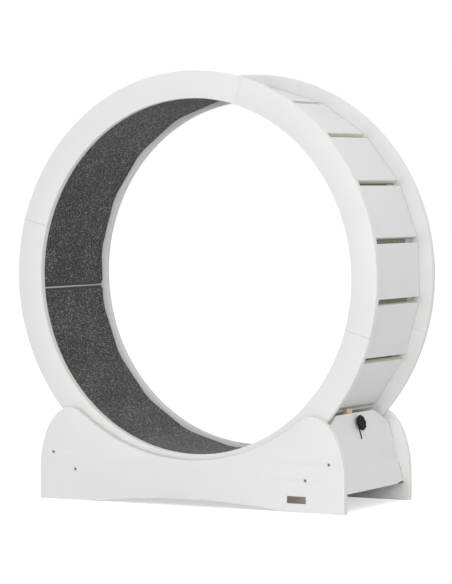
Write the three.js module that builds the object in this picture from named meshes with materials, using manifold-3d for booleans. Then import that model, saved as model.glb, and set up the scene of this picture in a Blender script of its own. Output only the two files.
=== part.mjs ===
// Cat exercise wheel: a slatted wooden running wheel, lined with carpet, that turns on four
// flanged rollers between two shaped side panels, with a clamped wooden brake block.
// Millimetres, +Z up. X runs along the base and Y along the wheel's axis, with the front at -Y.
// The origin is on the floor under the wheel's centre.

import * as THREE from "three";
import { mergeVertices } from "three/addons/utils/BufferGeometryUtils.js";
import Module from "manifold-3d";

const wasm = await Module();
wasm.setup();

// ---------------------------------------------------------------- driving dimensions

const GAP = 0.3; // between faces that touch

const AXLE_HEIGHT = 590; // wheel centre above the floor
const RIM_OUTER_R = 530;
const RIM_INNER_R = 459;
const RIM_THICKNESS = 18;
const RIM_QUARTERS = 4;
const WHEEL_WIDTH = 346; // over both rims
const SEAM_ANGLE = -16.3; // degrees, one joint between rim quarters

const SLAT_COUNT = 20;
const SLAT_FACE_R = 492.5; // wheel centre to a slat's outer face
const SLAT_THICKNESS = 15;
const SLAT_SLOT = 15.5; // gap between the outer faces of two slats
const DOWEL_R = 4;
const DOWEL_REACH = 12; // out of each slat end
const DOWEL_OFFSET = 45; // either side of a slat's middle

const MAT_THICKNESS = 7;
const MAT_WIDTH = 305;
const MAT_SEAM_ANGLE = 184.3; // degrees, one of the two joints between the mats
const MAT_SEAM_GAP = 4;
const MAT_FLAT_HALF = 60; // half of the flat stretch along each slat
const STRIP_THICKNESS = 3.2; // hook and loop between the mats and the slats
const STRIP_HALF = 15;
const STRIP_INSET = 3; // from a strip to a mat's end

const PANEL_THICKNESS = 18;
const PANEL_TO_RIM = 7;
const PANEL_HALF_LENGTH = 450;
const PANEL_ARC_R = 477; // concave top edge, about the wheel's axis
const EAR_HEIGHT = 246.5;
const EAR_PEAK_X = 357;
const EAR_SHOULDER_Z = 75; // where the outer edge starts to curve in
const FOOT_ARCH_HALF = 275;
const FOOT_ARCH_RISE = 17;

const BOARD_THICKNESS = 15;
const BOARD_LEAN = 15; // degrees from upright, top inward
const BOARD_FOOT_X = 436; // outer face at its bottom edge
const BOARD_FOOT_Z = 46.4;
const BOARD_HEIGHT = 201; // along the board
const BOARD_CLIP_Y = 108; // where a clipped corner starts on the top edge
const BOARD_CLIP_DROP = 37; // how far it comes down at the board's end
const BOARD_SCREW_UP = 82.4; // screw above the bottom edge, along the board

const ROLLER_ANGLE = 33.8; // degrees from straight under the axle
const RAIL_MIDDLE_R = 612; // wheel centre to the middle of a rail
const RAIL_THICKNESS = 18;
const RAIL_WIDTH = 80;
const TYRE_R = 25;
const TYRE_WIDTH = 20;
const TYRE_SHOULDER = 1.5;
const HUB_R = 18;
const HUB_RECESS_R = [7.5, 15]; // ring-shaped hollow in the outer face
const HUB_RECESS_DEPTH = 5;
const FLANGE_R = 29.5;
const FLANGE_THICKNESS = 3;
const FLANGE_TO_RIM = 1.5;
const PIN_R = 4;
const PIN_HEAD_R = 6.5;
const PIN_HEAD_HEIGHT = 1.5;
const FORK_STEEL = 2.5;
const FORK_SIDE_GAP = 0.5; // between the hub and each leg
const FORK_FOOT_LENGTH = 56;
const FORK_FOOT_CORNER = 4;
const FORK_HOLE_R = 2.25;
const FORK_HOLES = [22, 8.5]; // from the foot's middle, along it and across it
const FORK_LEG_HALF = 16;
const FORK_EYE_R = 9;

const SCREW_R = 3;
const SCREW_HEAD_R = 4.4;
const SCREW_HEAD_HEIGHT = 3;
const SCREW_LENGTH = 50;
const SCREW_SUNK = 0.5; // head below the panel's face
const SCREW_SOCKET_R = 2.3;
const SCREW_SOCKET_DEPTH = 2.5;

const BRAKE_BOLT_R = 3;
const BOLT_HEAD_R = 7;
const BOLT_HEAD_EDGE = 1;
const BOLT_HEAD_DOME = 2.3;
const BRAKE_BOLT_UP = 172; // bolt above the board's bottom edge, brake raised
const BRAKE_TRAVEL = 38;
const BRAKE_SLOT_R = 3.5;
const BRAKE_BLOCK_WIDTH = 30;
const BRAKE_BLOCK_THICKNESS = 20;
const BRAKE_BLOCK_BELOW = 25; // block below its bolt
const BRAKE_CLEARANCE = 2; // from the block's top to the path of the slats' corners
const WASHER_R = 9;
const WASHER_THICKNESS = 1.5;
const KNOB_R = 20;
const KNOB_LOBES = 8;
const KNOB_LOBE_STEPS = 4; // facets on a lobe
const KNOB_LOBE_DEPTH = 2.4;
const KNOB_BOSS_R = 11;
const KNOB_BOSS_HEIGHT = 3;
const KNOB_GRIP_HEIGHT = 9;
const KNOB_EDGE = 2;
const KNOB_BORE_DEPTH = 7.5;

const EDGE = 1; // chamfer on board edges
const OVERCUT = 1; // how far a cutting tool runs past a face
const RIM_STEPS = 15; // facets on a rim quarter
const EAR_STEPS = 9; // facets on the outer edge of an ear
const TIP_STEPS = 5; // facets on an ear's inner shoulder, a bolt's head and the block's top
const SADDLE_STEPS = 11; // facets on half of the concave top edge
const ARCH_STEPS = 4; // facets on half of the foot arch
const ROLLER_STEPS = 18;
const PIN_STEPS = 12; // facets on pins and bolts
const SCREW_STEPS = 8; // facets on screws and their bores
const HOLE_STEPS = 6; // facets on dowels and small holes

// ---------------------------------------------------------------- worked-out dimensions

const rad = THREE.MathUtils.degToRad;

const rimFaceY = WHEEL_WIDTH / 2;
const rimInsideY = rimFaceY - RIM_THICKNESS;
const panelInsideY = rimFaceY + PANEL_TO_RIM;
const panelFaceY = panelInsideY + PANEL_THICKNESS;
const boardEndY = panelInsideY - GAP;

const slatPitch = 360 / SLAT_COUNT;
const slatInnerR = SLAT_FACE_R - SLAT_THICKNESS;
const slatMiddleR = SLAT_FACE_R - SLAT_THICKNESS / 2;
const slatHalfWidth = SLAT_FACE_R * Math.tan(rad(slatPitch / 2)) - SLAT_SLOT / 2;
const slatCornerR = Math.hypot(SLAT_FACE_R, slatHalfWidth);

const rollerAxleR = RIM_OUTER_R + GAP + TYRE_R;
const railFaceR = RAIL_MIDDLE_R - RAIL_THICKNESS / 2;
const flangeY = rimInsideY - FLANGE_TO_RIM; // flange face beside the rim
const tyreY = rimFaceY - RIM_THICKNESS / 2; // middle of a tyre, under the rim's middle
const hubInsideY = flangeY - FLANGE_THICKNESS;
const hubOutsideY = tyreY + TYRE_WIDTH / 2 + FORK_SIDE_GAP;

// ---------------------------------------------------------------- helpers

const at = (x, y) => new THREE.Vector2(x, y);

// Points on an arc of an ellipse, with the angles in degrees anticlockwise from +X.
function arc(cx, cy, rx, ry, from, to, steps) {
  return Array.from({ length: steps + 1 }, (_, i) => {
    const angle = rad(from + ((to - from) * i) / steps);
    return at(cx + rx * Math.cos(angle), cy + ry * Math.sin(angle));
  });
}

const circle = (cx, cy, r, steps) => arc(cx, cy, r, r, 0, 360, steps).slice(0, -1);

// A rectangle with its four corners cut off.
function clippedRectangle(x0, x1, y0, y1, cut) {
  return [
    at(x0 + cut, y0),
    at(x1 - cut, y0),
    at(x1, y0 + cut),
    at(x1, y1 - cut),
    at(x1 - cut, y1),
    at(x0 + cut, y1),
    at(x0, y1 - cut),
    at(x0, y0 + cut),
  ];
}

// Extrudes an outline from height 0 to depth, with an optional chamfer round both faces.
function extrude(outline, depth, chamfer = 0) {
  const geometry = new THREE.ExtrudeGeometry(new THREE.Shape(outline), {
    depth: depth - 2 * chamfer,
    bevelEnabled: chamfer > 0,
    bevelThickness: chamfer,
    bevelSize: chamfer,
    bevelOffset: -chamfer,
    bevelSegments: 1,
  });
  return geometry.translate(0, 0, chamfer);
}

// An outline drawn in (X, Z), extruded along Y.
function alongY(outline, y0, y1, chamfer) {
  return extrude(outline, y1 - y0, chamfer).rotateX(Math.PI / 2).translate(0, y1, 0);
}

// An outline drawn in (Y, Z), extruded along X.
function alongX(outline, x0, x1, chamfer) {
  const geometry = extrude(outline, x1 - x0, chamfer);
  return geometry.rotateX(Math.PI / 2).rotateZ(Math.PI / 2).translate(x0, 0, 0);
}

// A closed profile of (radius, height) points, turned about the Y axis.
function turned(profile, steps) {
  return new THREE.LatheGeometry([...profile, profile[0]], steps);
}

// A rod along Y through (x, z).
function rodY(x, z, r, y0, y1, steps = PIN_STEPS) {
  return new THREE.CylinderGeometry(r, r, y1 - y0, steps).translate(x, (y0 + y1) / 2, z);
}

// A rod along X through (0, z).
function rodX(z, r, x0, x1) {
  return rodY(0, 0, r, x0, x1).rotateZ(-Math.PI / 2).translate(0, 0, z);
}

// A geometry as a solid for cutting and joining.
function solid(geometry) {
  const bare = geometry.clone();
  bare.deleteAttribute("normal");
  bare.deleteAttribute("uv");
  const merged = mergeVertices(bare);
  return new wasm.Manifold(
    new wasm.Mesh({
      numProp: 3,
      vertProperties: merged.attributes.position.array,
      triVerts: new Uint32Array(merged.index.array),
    }),
  );
}

const cut = (body, ...tools) => tools.reduce((rest, tool) => rest.subtract(solid(tool)), body);
const join = (body, ...others) => others.reduce((whole, other) => whole.add(solid(other)), body);

// A solid back as a geometry.
function geometryOf(body) {
  const { vertProperties, triVerts } = body.getMesh();
  const geometry = new THREE.BufferGeometry();
  geometry.setAttribute("position", new THREE.BufferAttribute(vertProperties, 3));
  geometry.setIndex(new THREE.BufferAttribute(triVerts, 1));
  geometry.computeVertexNormals();
  return geometry;
}

const LOOKS = {
  board: { color: 0xe9e9e8, roughness: 0.45, metalness: 0 },
  carpet: { color: 0x4a4b4b, roughness: 1, metalness: 0 },
  wood: { color: 0xdec4a0, roughness: 0.7, metalness: 0 },
  rubber: { color: 0x3a3d3f, roughness: 0.8, metalness: 0 },
  nylon: { color: 0xd8dadb, roughness: 0.5, metalness: 0 },
  steel: { color: 0xb9bcbf, roughness: 0.35, metalness: 1 },
  blackPlastic: { color: 0x1c1c1d, roughness: 0.5, metalness: 0 },
};

function mesh(name, geometry, look) {
  const piece = new THREE.Mesh(geometry, new THREE.MeshStandardMaterial(LOOKS[look]));
  piece.name = name;
  return piece;
}

function group(...pieces) {
  return new THREE.Group().add(...pieces);
}

// Turns a piece about the wheel's axis, from +X towards +Z.
function turn(piece, degrees) {
  piece.rotation.y = -rad(degrees);
  return piece;
}

// ---------------------------------------------------------------- wheel

// The two dowels of a slat that lies on the +X side, or the holes for them.
function dowels(r, y0, y1, offsets = [-DOWEL_OFFSET, DOWEL_OFFSET]) {
  return offsets.map((z) => rodY(slatMiddleR, z, r, y0, y1, HOLE_STEPS));
}

// A quarter of the front (side -1) or back (side 1) rim. A slat lies across each of its two
// joints, so the first and the last slat each have one dowel in it.
function rimQuarter(side) {
  const trim = THREE.MathUtils.radToDeg(GAP / 2 / RIM_INNER_R);
  const outline = [
    ...arc(0, 0, RIM_OUTER_R, RIM_OUTER_R, trim, 90 - trim, RIM_STEPS),
    ...arc(0, 0, RIM_INNER_R, RIM_INNER_R, 90 - trim, trim, RIM_STEPS),
  ];
  const [y0, y1] = [side * rimFaceY, side * rimInsideY].sort((a, b) => a - b);
  const holeEnds = [side * (rimInsideY + DOWEL_REACH), side * (rimInsideY - OVERCUT)];
  const [h0, h1] = holeEnds.sort((a, b) => a - b);
  const slats = SLAT_COUNT / RIM_QUARTERS;
  let board = solid(alongY(outline, y0, y1, EDGE));
  for (let i = 0; i <= slats; i++) {
    const before = i > 0 ? [-DOWEL_OFFSET] : [];
    const after = i < slats ? [DOWEL_OFFSET] : [];
    const holes = dowels(DOWEL_R + GAP, h0, h1, [...before, ...after]);
    board = cut(board, ...holes.map((hole) => hole.rotateY(-rad(i * slatPitch))));
  }
  return geometryOf(board);
}

// A slat that lies on the +X side, with its dowels.
function slat() {
  const outline = clippedRectangle(slatInnerR, SLAT_FACE_R, -slatHalfWidth, slatHalfWidth, EDGE);
  const end = rimInsideY - GAP;
  const board = solid(alongY(outline, -end, end));
  const reach = end + DOWEL_REACH;
  return geometryOf(join(board, ...dowels(DOWEL_R, -reach, reach)));
}

// Half of the lining: a mat on one fastening strip a slat, flat along each slat and bent across
// the slots between them. It starts and ends on the slats under the two seams.
function mat() {
  const seamSlat = SEAM_ANGLE + slatPitch * Math.round((MAT_SEAM_ANGLE - SEAM_ANGLE) / slatPitch);
  const stripR = slatInnerR - GAP;
  const backR = stripR - STRIP_THICKNESS;
  const seam = backR * Math.tan(rad(MAT_SEAM_ANGLE - seamSlat));
  const lastSlat = SLAT_COUNT / 2;
  const back = [];
  const face = [];
  for (let i = 0; i <= lastSlat; i++) {
    const from = i === 0 ? seam + MAT_SEAM_GAP / 2 : -MAT_FLAT_HALF;
    const to = i === lastSlat ? seam - MAT_SEAM_GAP / 2 : MAT_FLAT_HALF;
    const room = STRIP_HALF + STRIP_INSET;
    const strip = THREE.MathUtils.clamp(0, from + room, to - room);
    const [strip0, strip1] = [strip - STRIP_HALF, strip + STRIP_HALF];
    const turned = (p) => p.rotateAround(at(0, 0), rad(seamSlat + i * slatPitch));
    const shrunk = (p) => p.clone().multiplyScalar(1 - MAT_THICKNESS / backR);
    const ends = [turned(at(backR, from)), turned(at(backR, to))];
    const stripEdge = [
      at(backR, strip0),
      at(stripR, strip0),
      at(stripR, strip1),
      at(backR, strip1),
    ];
    back.push(ends[0], ...stripEdge.map(turned), ends[1]);
    face.push(...ends.map(shrunk));
  }
  return alongY([...back, ...face.reverse()], -MAT_WIDTH / 2, MAT_WIDTH / 2);
}

function wheel() {
  const whole = new THREE.Group();
  whole.position.z = AXLE_HEIGHT;
  for (const [end, side] of [["front", -1], ["back", 1]]) {
    const quarter = rimQuarter(side);
    for (let i = 0; i < RIM_QUARTERS; i++) {
      const piece = mesh(`${end}_rim_${i + 1}`, quarter.clone(), "board");
      whole.add(turn(piece, SEAM_ANGLE + (i * 360) / RIM_QUARTERS));
    }
  }
  const board = slat();
  for (let i = 0; i < SLAT_COUNT; i++) {
    const piece = mesh(`slat_${String(i + 1).padStart(2, "0")}`, board.clone(), "board");
    whole.add(turn(piece, SEAM_ANGLE + i * slatPitch));
  }
  whole.add(mesh("lower_carpet_mat", mat(), "carpet"));
  whole.add(turn(mesh("upper_carpet_mat", mat(), "carpet"), 180));
  return whole;
}

// ---------------------------------------------------------------- screws

// An assembly screw along +Y with a hexagon socket, its head's face at y = 0.
function screw() {
  const neck = SCREW_HEAD_HEIGHT + SCREW_HEAD_R - SCREW_R;
  const profile = [
    at(0, 0),
    at(SCREW_HEAD_R, 0),
    at(SCREW_HEAD_R, SCREW_HEAD_HEIGHT),
    at(SCREW_R, neck),
    at(SCREW_R, SCREW_LENGTH - SCREW_R),
    at(SCREW_R / 2, SCREW_LENGTH),
    at(0, SCREW_LENGTH),
  ];
  const socket = rodY(0, 0, SCREW_SOCKET_R, -OVERCUT, SCREW_SOCKET_DEPTH, HOLE_STEPS);
  return geometryOf(cut(solid(turned(profile, SCREW_STEPS)), socket));
}

// Where the screws pass through the panels: into the end boards and into the roller rails.
const lean = rad(BOARD_LEAN);
const boardScrew = at(
  BOARD_FOOT_X - (BOARD_THICKNESS / 2) * Math.cos(lean) - BOARD_SCREW_UP * Math.sin(lean),
  BOARD_FOOT_Z - (BOARD_THICKNESS / 2) * Math.sin(lean) + BOARD_SCREW_UP * Math.cos(lean),
);
const railScrew = at(
  RAIL_MIDDLE_R * Math.sin(rad(ROLLER_ANGLE)),
  AXLE_HEIGHT - RAIL_MIDDLE_R * Math.cos(rad(ROLLER_ANGLE)),
);

function screws() {
  const whole = new THREE.Group();
  for (const [end, turnZ, y] of [["front", 0, -panelFaceY], ["back", Math.PI, panelFaceY]]) {
    for (const [hand, sign] of [["left", -1], ["right", 1]]) {
      for (const [target, place] of [["board", boardScrew], ["rail", railScrew]]) {
        const piece = mesh(`${end}_${hand}_${target}_screw`, screw(), "steel");
        piece.position.set(sign * place.x, y - Math.sign(y) * SCREW_SUNK, place.y);
        piece.rotation.z = turnZ;
        whole.add(piece);
      }
    }
  }
  return whole;
}

// The bore in a board's end for a screw whose axis is at (x, z), at one end of the board.
function screwBore(x, z, side) {
  const bottom = panelFaceY - SCREW_SUNK - SCREW_LENGTH - OVERCUT;
  const [y0, y1] = [side * bottom, side * (boardEndY + OVERCUT)].sort((a, b) => a - b);
  return rodY(x, z, SCREW_R + GAP, y0, y1, SCREW_STEPS);
}

// ---------------------------------------------------------------- base boards

// Half of a side panel's outline, from the middle of the foot arch to the middle of the
// concave top edge, by the right foot and the right ear.
function halfPanelOutline() {
  const archR = (FOOT_ARCH_HALF ** 2 + FOOT_ARCH_RISE ** 2) / (2 * FOOT_ARCH_RISE);
  const archEnd = THREE.MathUtils.radToDeg(Math.acos(FOOT_ARCH_HALF / archR));
  const drop = AXLE_HEIGHT - EAR_HEIGHT;
  const tipR = (EAR_PEAK_X ** 2 + drop ** 2 - PANEL_ARC_R ** 2) / (2 * (PANEL_ARC_R - drop));
  const tipZ = EAR_HEIGHT - tipR;
  const meet = THREE.MathUtils.radToDeg(Math.atan2(AXLE_HEIGHT - tipZ, -EAR_PEAK_X));
  const earRx = PANEL_HALF_LENGTH - EAR_PEAK_X;
  const earRz = EAR_HEIGHT - EAR_SHOULDER_Z;
  return [
    ...arc(0, FOOT_ARCH_RISE - archR, archR, archR, 90, archEnd, ARCH_STEPS),
    at(PANEL_HALF_LENGTH, 0),
    ...arc(EAR_PEAK_X, EAR_SHOULDER_Z, earRx, earRz, 0, 90, EAR_STEPS),
    ...arc(EAR_PEAK_X, tipZ, tipR, tipR, 90, meet, TIP_STEPS).slice(1),
    ...arc(0, AXLE_HEIGHT, PANEL_ARC_R, PANEL_ARC_R, meet - 180, -90, SADDLE_STEPS).slice(1),
  ];
}

function sidePanel(side) {
  const half = halfPanelOutline();
  const otherHalf = half.slice(1, -1).map((p) => at(-p.x, p.y)).reverse();
  const [y0, y1] = [side * panelInsideY, side * panelFaceY].sort((a, b) => a - b);
  let board = solid(alongY([...half, ...otherHalf], y0, y1, EDGE));
  const headSeat = panelFaceY - SCREW_SUNK - SCREW_HEAD_HEIGHT - (SCREW_HEAD_R - SCREW_R) - GAP;
  for (const place of [boardScrew, railScrew]) {
    for (const x of [-place.x, place.x]) {
      const [h0, h1] = [side * headSeat, side * (panelFaceY + OVERCUT)].sort((a, b) => a - b);
      const seat = rodY(x, place.y, SCREW_HEAD_R + GAP, h0, h1, SCREW_STEPS);
      const bore = rodY(x, place.y, SCREW_R + GAP, y0 - OVERCUT, y1 + OVERCUT, SCREW_STEPS);
      board = cut(board, seat, bore);
    }
  }
  return geometryOf(board);
}

// An end board in its own frame: X out of its outer face, Z up along it from its bottom edge.
function endBoard(withSlot) {
  const clipZ = BOARD_HEIGHT - BOARD_CLIP_DROP;
  const outline = [
    at(-boardEndY, 0),
    at(boardEndY, 0),
    at(boardEndY, clipZ),
    at(BOARD_CLIP_Y, BOARD_HEIGHT),
    at(-BOARD_CLIP_Y, BOARD_HEIGHT),
    at(-boardEndY, clipZ),
  ];
  let board = solid(alongX(outline, -BOARD_THICKNESS, 0, EDGE));
  for (const side of [-1, 1]) {
    board = cut(board, screwBore(-BOARD_THICKNESS / 2, BOARD_SCREW_UP, side));
  }
  if (withSlot) {
    const slot = [
      ...arc(0, BRAKE_BOLT_UP, BRAKE_SLOT_R, BRAKE_SLOT_R, 0, 180, PIN_STEPS / 2),
      ...arc(0, BRAKE_BOLT_UP - BRAKE_TRAVEL, BRAKE_SLOT_R, BRAKE_SLOT_R, 180, 360, PIN_STEPS / 2),
    ];
    board = cut(board, alongX(slot, -BOARD_THICKNESS - OVERCUT, OVERCUT));
  }
  return geometryOf(board);
}

// Moves a group from an end board's own frame to its place on the base.
function leanIn(whole) {
  whole.position.set(BOARD_FOOT_X, 0, BOARD_FOOT_Z);
  whole.rotation.y = -lean;
  return whole;
}

// ---------------------------------------------------------------- rollers

// The rollers are drawn with the wheel's axis at the origin and the rail straight below it, for
// the roller on the +Y side, and each set is turned to its place.

function rail() {
  const outline = clippedRectangle(
    -RAIL_WIDTH / 2, RAIL_WIDTH / 2, -railFaceR - RAIL_THICKNESS, -railFaceR, EDGE);
  const board = solid(alongY(outline, -boardEndY, boardEndY));
  return geometryOf(cut(board, ...[-1, 1].map((side) => screwBore(0, -RAIL_MIDDLE_R, side))));
}

// A U-shaped fork: a foot with four screw holes, two tapered legs and a riveted axle pin.
function fork() {
  const y0 = hubInsideY - FORK_SIDE_GAP - FORK_STEEL;
  const y1 = hubOutsideY + FORK_SIDE_GAP + FORK_STEEL;
  const middle = (y0 + y1) / 2;
  const footZ = -railFaceR + GAP;
  const foot = extrude(
    clippedRectangle(-FORK_FOOT_LENGTH / 2, FORK_FOOT_LENGTH / 2, y0, y1, FORK_FOOT_CORNER), FORK_STEEL);
  const leg = [
    at(-FORK_LEG_HALF, footZ),
    at(FORK_LEG_HALF, footZ),
    at(FORK_LEG_HALF, footZ + 2 * FORK_STEEL),
    ...arc(0, -rollerAxleR, FORK_EYE_R, FORK_EYE_R, 10, 170, PIN_STEPS / 2),
    at(-FORK_LEG_HALF, footZ + 2 * FORK_STEEL),
  ];
  let body = join(
    solid(foot.translate(0, 0, footZ)),
    alongY(leg, y0, y0 + FORK_STEEL),
    alongY(leg, y1 - FORK_STEEL, y1),
    rodY(0, -rollerAxleR, PIN_R, y0, y1),
    rodY(0, -rollerAxleR, PIN_HEAD_R, y0 - PIN_HEAD_HEIGHT, y0 + FORK_STEEL / 2),
    rodY(0, -rollerAxleR, PIN_HEAD_R, y1 - FORK_STEEL / 2, y1 + PIN_HEAD_HEIGHT),
  );
  for (const x of [-FORK_HOLES[0], FORK_HOLES[0]]) {
    for (const y of [middle - FORK_HOLES[1], middle + FORK_HOLES[1]]) {
      const hole = extrude(circle(x, y, FORK_HOLE_R, HOLE_STEPS), 2 * FORK_STEEL);
      body = cut(body, hole.translate(0, 0, footZ - FORK_STEEL / 2));
    }
  }
  return geometryOf(body);
}

// A hub with its guide flange on the inner side of the rim, and a hollow ring in its outer face.
function hub() {
  const boreR = PIN_R + GAP;
  const [recess0, recess1] = HUB_RECESS_R;
  const profile = [
    at(boreR, hubInsideY),
    at(FLANGE_R, hubInsideY),
    at(FLANGE_R, flangeY - EDGE),
    at(FLANGE_R - EDGE, flangeY),
    at(HUB_R, flangeY),
    at(HUB_R, hubOutsideY),
    at(recess1, hubOutsideY),
    at(recess1, hubOutsideY - HUB_RECESS_DEPTH),
    at(recess0, hubOutsideY - HUB_RECESS_DEPTH),
    at(recess0, hubOutsideY),
    at(boreR, hubOutsideY),
  ];
  return turned(profile, ROLLER_STEPS).translate(0, 0, -rollerAxleR);
}

function tyre() {
  const [y0, y1] = [tyreY - TYRE_WIDTH / 2, tyreY + TYRE_WIDTH / 2];
  const profile = [
    at(HUB_R + GAP, y0),
    at(TYRE_R - TYRE_SHOULDER, y0),
    at(TYRE_R, y0 + TYRE_SHOULDER),
    at(TYRE_R, y1 - TYRE_SHOULDER),
    at(TYRE_R - TYRE_SHOULDER, y1),
    at(HUB_R + GAP, y1),
  ];
  return turned(profile, ROLLER_STEPS).translate(0, 0, -rollerAxleR);
}

// The rail and both rollers on the right, or the same turned half a turn on the left.
function cradle(hand) {
  const whole = group(mesh(`${hand}_roller_rail`, rail(), "board"));
  whole.position.z = AXLE_HEIGHT;
  whole.rotation.y = -rad(ROLLER_ANGLE);
  for (const [end, turnZ] of [["back", 0], ["front", Math.PI]]) {
    const named = hand === "right" ? end : { back: "front", front: "back" }[end];
    const roller = group(
      mesh(`${hand}_${named}_fork`, fork(), "steel"),
      mesh(`${hand}_${named}_hub`, hub(), "nylon"),
      mesh(`${hand}_${named}_tyre`, tyre(), "rubber"),
    );
    roller.rotation.z = turnZ;
    whole.add(roller);
  }
  return whole;
}

// ---------------------------------------------------------------- brake

// The brake is drawn in the end board's own frame. The block's top follows the wheel's round
// path, so that it meets the slats squarely.
function brakeBlock() {
  const face = -BOARD_THICKNESS - GAP;
  const back = face - BRAKE_BLOCK_THICKNESS;
  const bottom = BRAKE_BOLT_UP - BRAKE_BLOCK_BELOW;
  const toAxle = at(-BOARD_FOOT_X, AXLE_HEIGHT - BOARD_FOOT_Z).rotateAround(at(0, 0), -lean);
  const pathR = slatCornerR + BRAKE_CLEARANCE;
  const angleAt = (x) => -THREE.MathUtils.radToDeg(Math.acos((x - toAxle.x) / pathR));
  const outline = [
    at(back, bottom),
    at(face, bottom),
    ...arc(toAxle.x, toAxle.y, pathR, pathR, angleAt(face), angleAt(back), TIP_STEPS),
  ];
  const half = BRAKE_BLOCK_WIDTH / 2;
  const block = solid(alongY(outline, -half, half, EDGE));
  const bore = rodX(BRAKE_BOLT_UP, BRAKE_BOLT_R + GAP, back - OVERCUT, face + OVERCUT);
  return geometryOf(cut(block, bore));
}

// A round-headed bolt through the block, the slot, the washer and the knob.
function brakeBolt() {
  const seat = -BOARD_THICKNESS - 2 * GAP - BRAKE_BLOCK_THICKNESS;
  const tip = 2 * GAP + WASHER_THICKNESS + KNOB_BORE_DEPTH;
  const profile = [
    ...arc(0, seat - BOLT_HEAD_EDGE, BOLT_HEAD_R, BOLT_HEAD_DOME, -90, 0, TIP_STEPS),
    at(BOLT_HEAD_R, seat),
    at(BRAKE_BOLT_R, seat),
    at(BRAKE_BOLT_R, tip),
    at(0, tip),
  ];
  return turned(profile, PIN_STEPS).rotateZ(-Math.PI / 2).translate(0, 0, BRAKE_BOLT_UP);
}

function brakeWasher() {
  const ring = solid(rodX(BRAKE_BOLT_UP, WASHER_R, GAP, GAP + WASHER_THICKNESS));
  return geometryOf(cut(ring, rodX(BRAKE_BOLT_UP, BRAKE_BOLT_R + GAP, 0, 2 * WASHER_THICKNESS)));
}

// A lobed grip on a round boss, with a blind bore for the bolt.
function brakeKnob() {
  const back = 2 * GAP + WASHER_THICKNESS;
  const gripBack = back + KNOB_BOSS_HEIGHT;
  const grip = circle(0, 0, KNOB_R, KNOB_LOBES * KNOB_LOBE_STEPS).map((p) => {
    const dip = (KNOB_LOBE_DEPTH * (1 - Math.cos(KNOB_LOBES * p.angle()))) / 2;
    return p.setLength(KNOB_R - dip);
  });
  const body = join(
    solid(alongX(grip, gripBack, gripBack + KNOB_GRIP_HEIGHT, KNOB_EDGE).translate(0, 0, BRAKE_BOLT_UP)),
    rodX(BRAKE_BOLT_UP, KNOB_BOSS_R, back, gripBack + OVERCUT),
  );
  const bore = rodX(BRAKE_BOLT_UP, BRAKE_BOLT_R + GAP, back - OVERCUT, back + KNOB_BORE_DEPTH + GAP);
  return geometryOf(cut(body, bore));
}

// ---------------------------------------------------------------- base

function base() {
  const right = group(
    leanIn(
      group(
        mesh("right_end_board", endBoard(true), "board"),
        mesh("brake_block", brakeBlock(), "wood"),
        mesh("brake_bolt", brakeBolt(), "steel"),
        mesh("brake_washer", brakeWasher(), "steel"),
        mesh("brake_knob", brakeKnob(), "blackPlastic"),
      ),
    ),
    cradle("right"),
  );
  const left = group(leanIn(group(mesh("left_end_board", endBoard(false), "board"))), cradle("left"));
  left.rotation.z = Math.PI;
  return group(
    mesh("front_side_panel", sidePanel(-1), "board"),
    mesh("back_side_panel", sidePanel(1), "board"),
    screws(),
    right,
    left,
  );
}

export default group(wheel(), base());
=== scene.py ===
"""Looks of a cat exercise wheel: its boards, carpet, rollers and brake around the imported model.

Metres, +Z up. X runs along the base and Y along the wheel's axis, with the front at -Y.
"""
import math
from math import cos, hypot, pi, radians, sin, sqrt, tan

import bmesh
import bpy
from mathutils import Matrix, Vector, noise
from mathutils.geometry import tessellate_polygon


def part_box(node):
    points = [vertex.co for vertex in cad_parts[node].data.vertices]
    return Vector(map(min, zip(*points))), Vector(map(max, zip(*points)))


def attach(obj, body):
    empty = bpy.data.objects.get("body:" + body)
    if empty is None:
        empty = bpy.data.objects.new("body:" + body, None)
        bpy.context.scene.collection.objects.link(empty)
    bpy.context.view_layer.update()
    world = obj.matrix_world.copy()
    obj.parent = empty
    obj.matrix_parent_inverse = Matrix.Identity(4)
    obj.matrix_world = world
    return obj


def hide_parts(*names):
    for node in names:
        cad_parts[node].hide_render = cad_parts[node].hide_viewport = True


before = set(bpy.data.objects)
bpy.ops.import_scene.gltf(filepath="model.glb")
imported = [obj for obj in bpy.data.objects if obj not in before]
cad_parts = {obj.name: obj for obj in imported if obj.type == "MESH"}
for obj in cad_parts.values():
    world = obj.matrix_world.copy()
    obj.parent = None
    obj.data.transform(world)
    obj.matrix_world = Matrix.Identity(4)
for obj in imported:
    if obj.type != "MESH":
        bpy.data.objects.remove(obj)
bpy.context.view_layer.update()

# ---------------------------------------------------------------- driving sizes

TOUCH = 0.0003  # left between faces that touch
BOARD_EDGE_R = 0.0011  # rounding of board edges
RIM_EDGE_R = {"front": 0.0006, "back": 0.0003}
PANEL_EDGE_R = 0.0016
END_BOARD_EDGE_R = 0.0009
BORE_CHAMFER = 0.0003

AXLE_Z = 0.590
RIM_OUTER_R = 0.5297
RIM_INNER_R = 0.459
RIM_QUARTERS = 4
SEAM_ANGLE = -16.3  # degrees from +X towards +Z, one joint between rim quarters

SLATS = 20
SLAT_FACE_R = 0.4925
SLAT_THICKNESS = 0.015
SLAT_SLOT = 0.0155
DOWEL_R = 0.004
DOWEL_REACH = 0.012
DOWEL_TIP = 0.001  # length of its taper
DOWEL_OFFSET = 0.045

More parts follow.
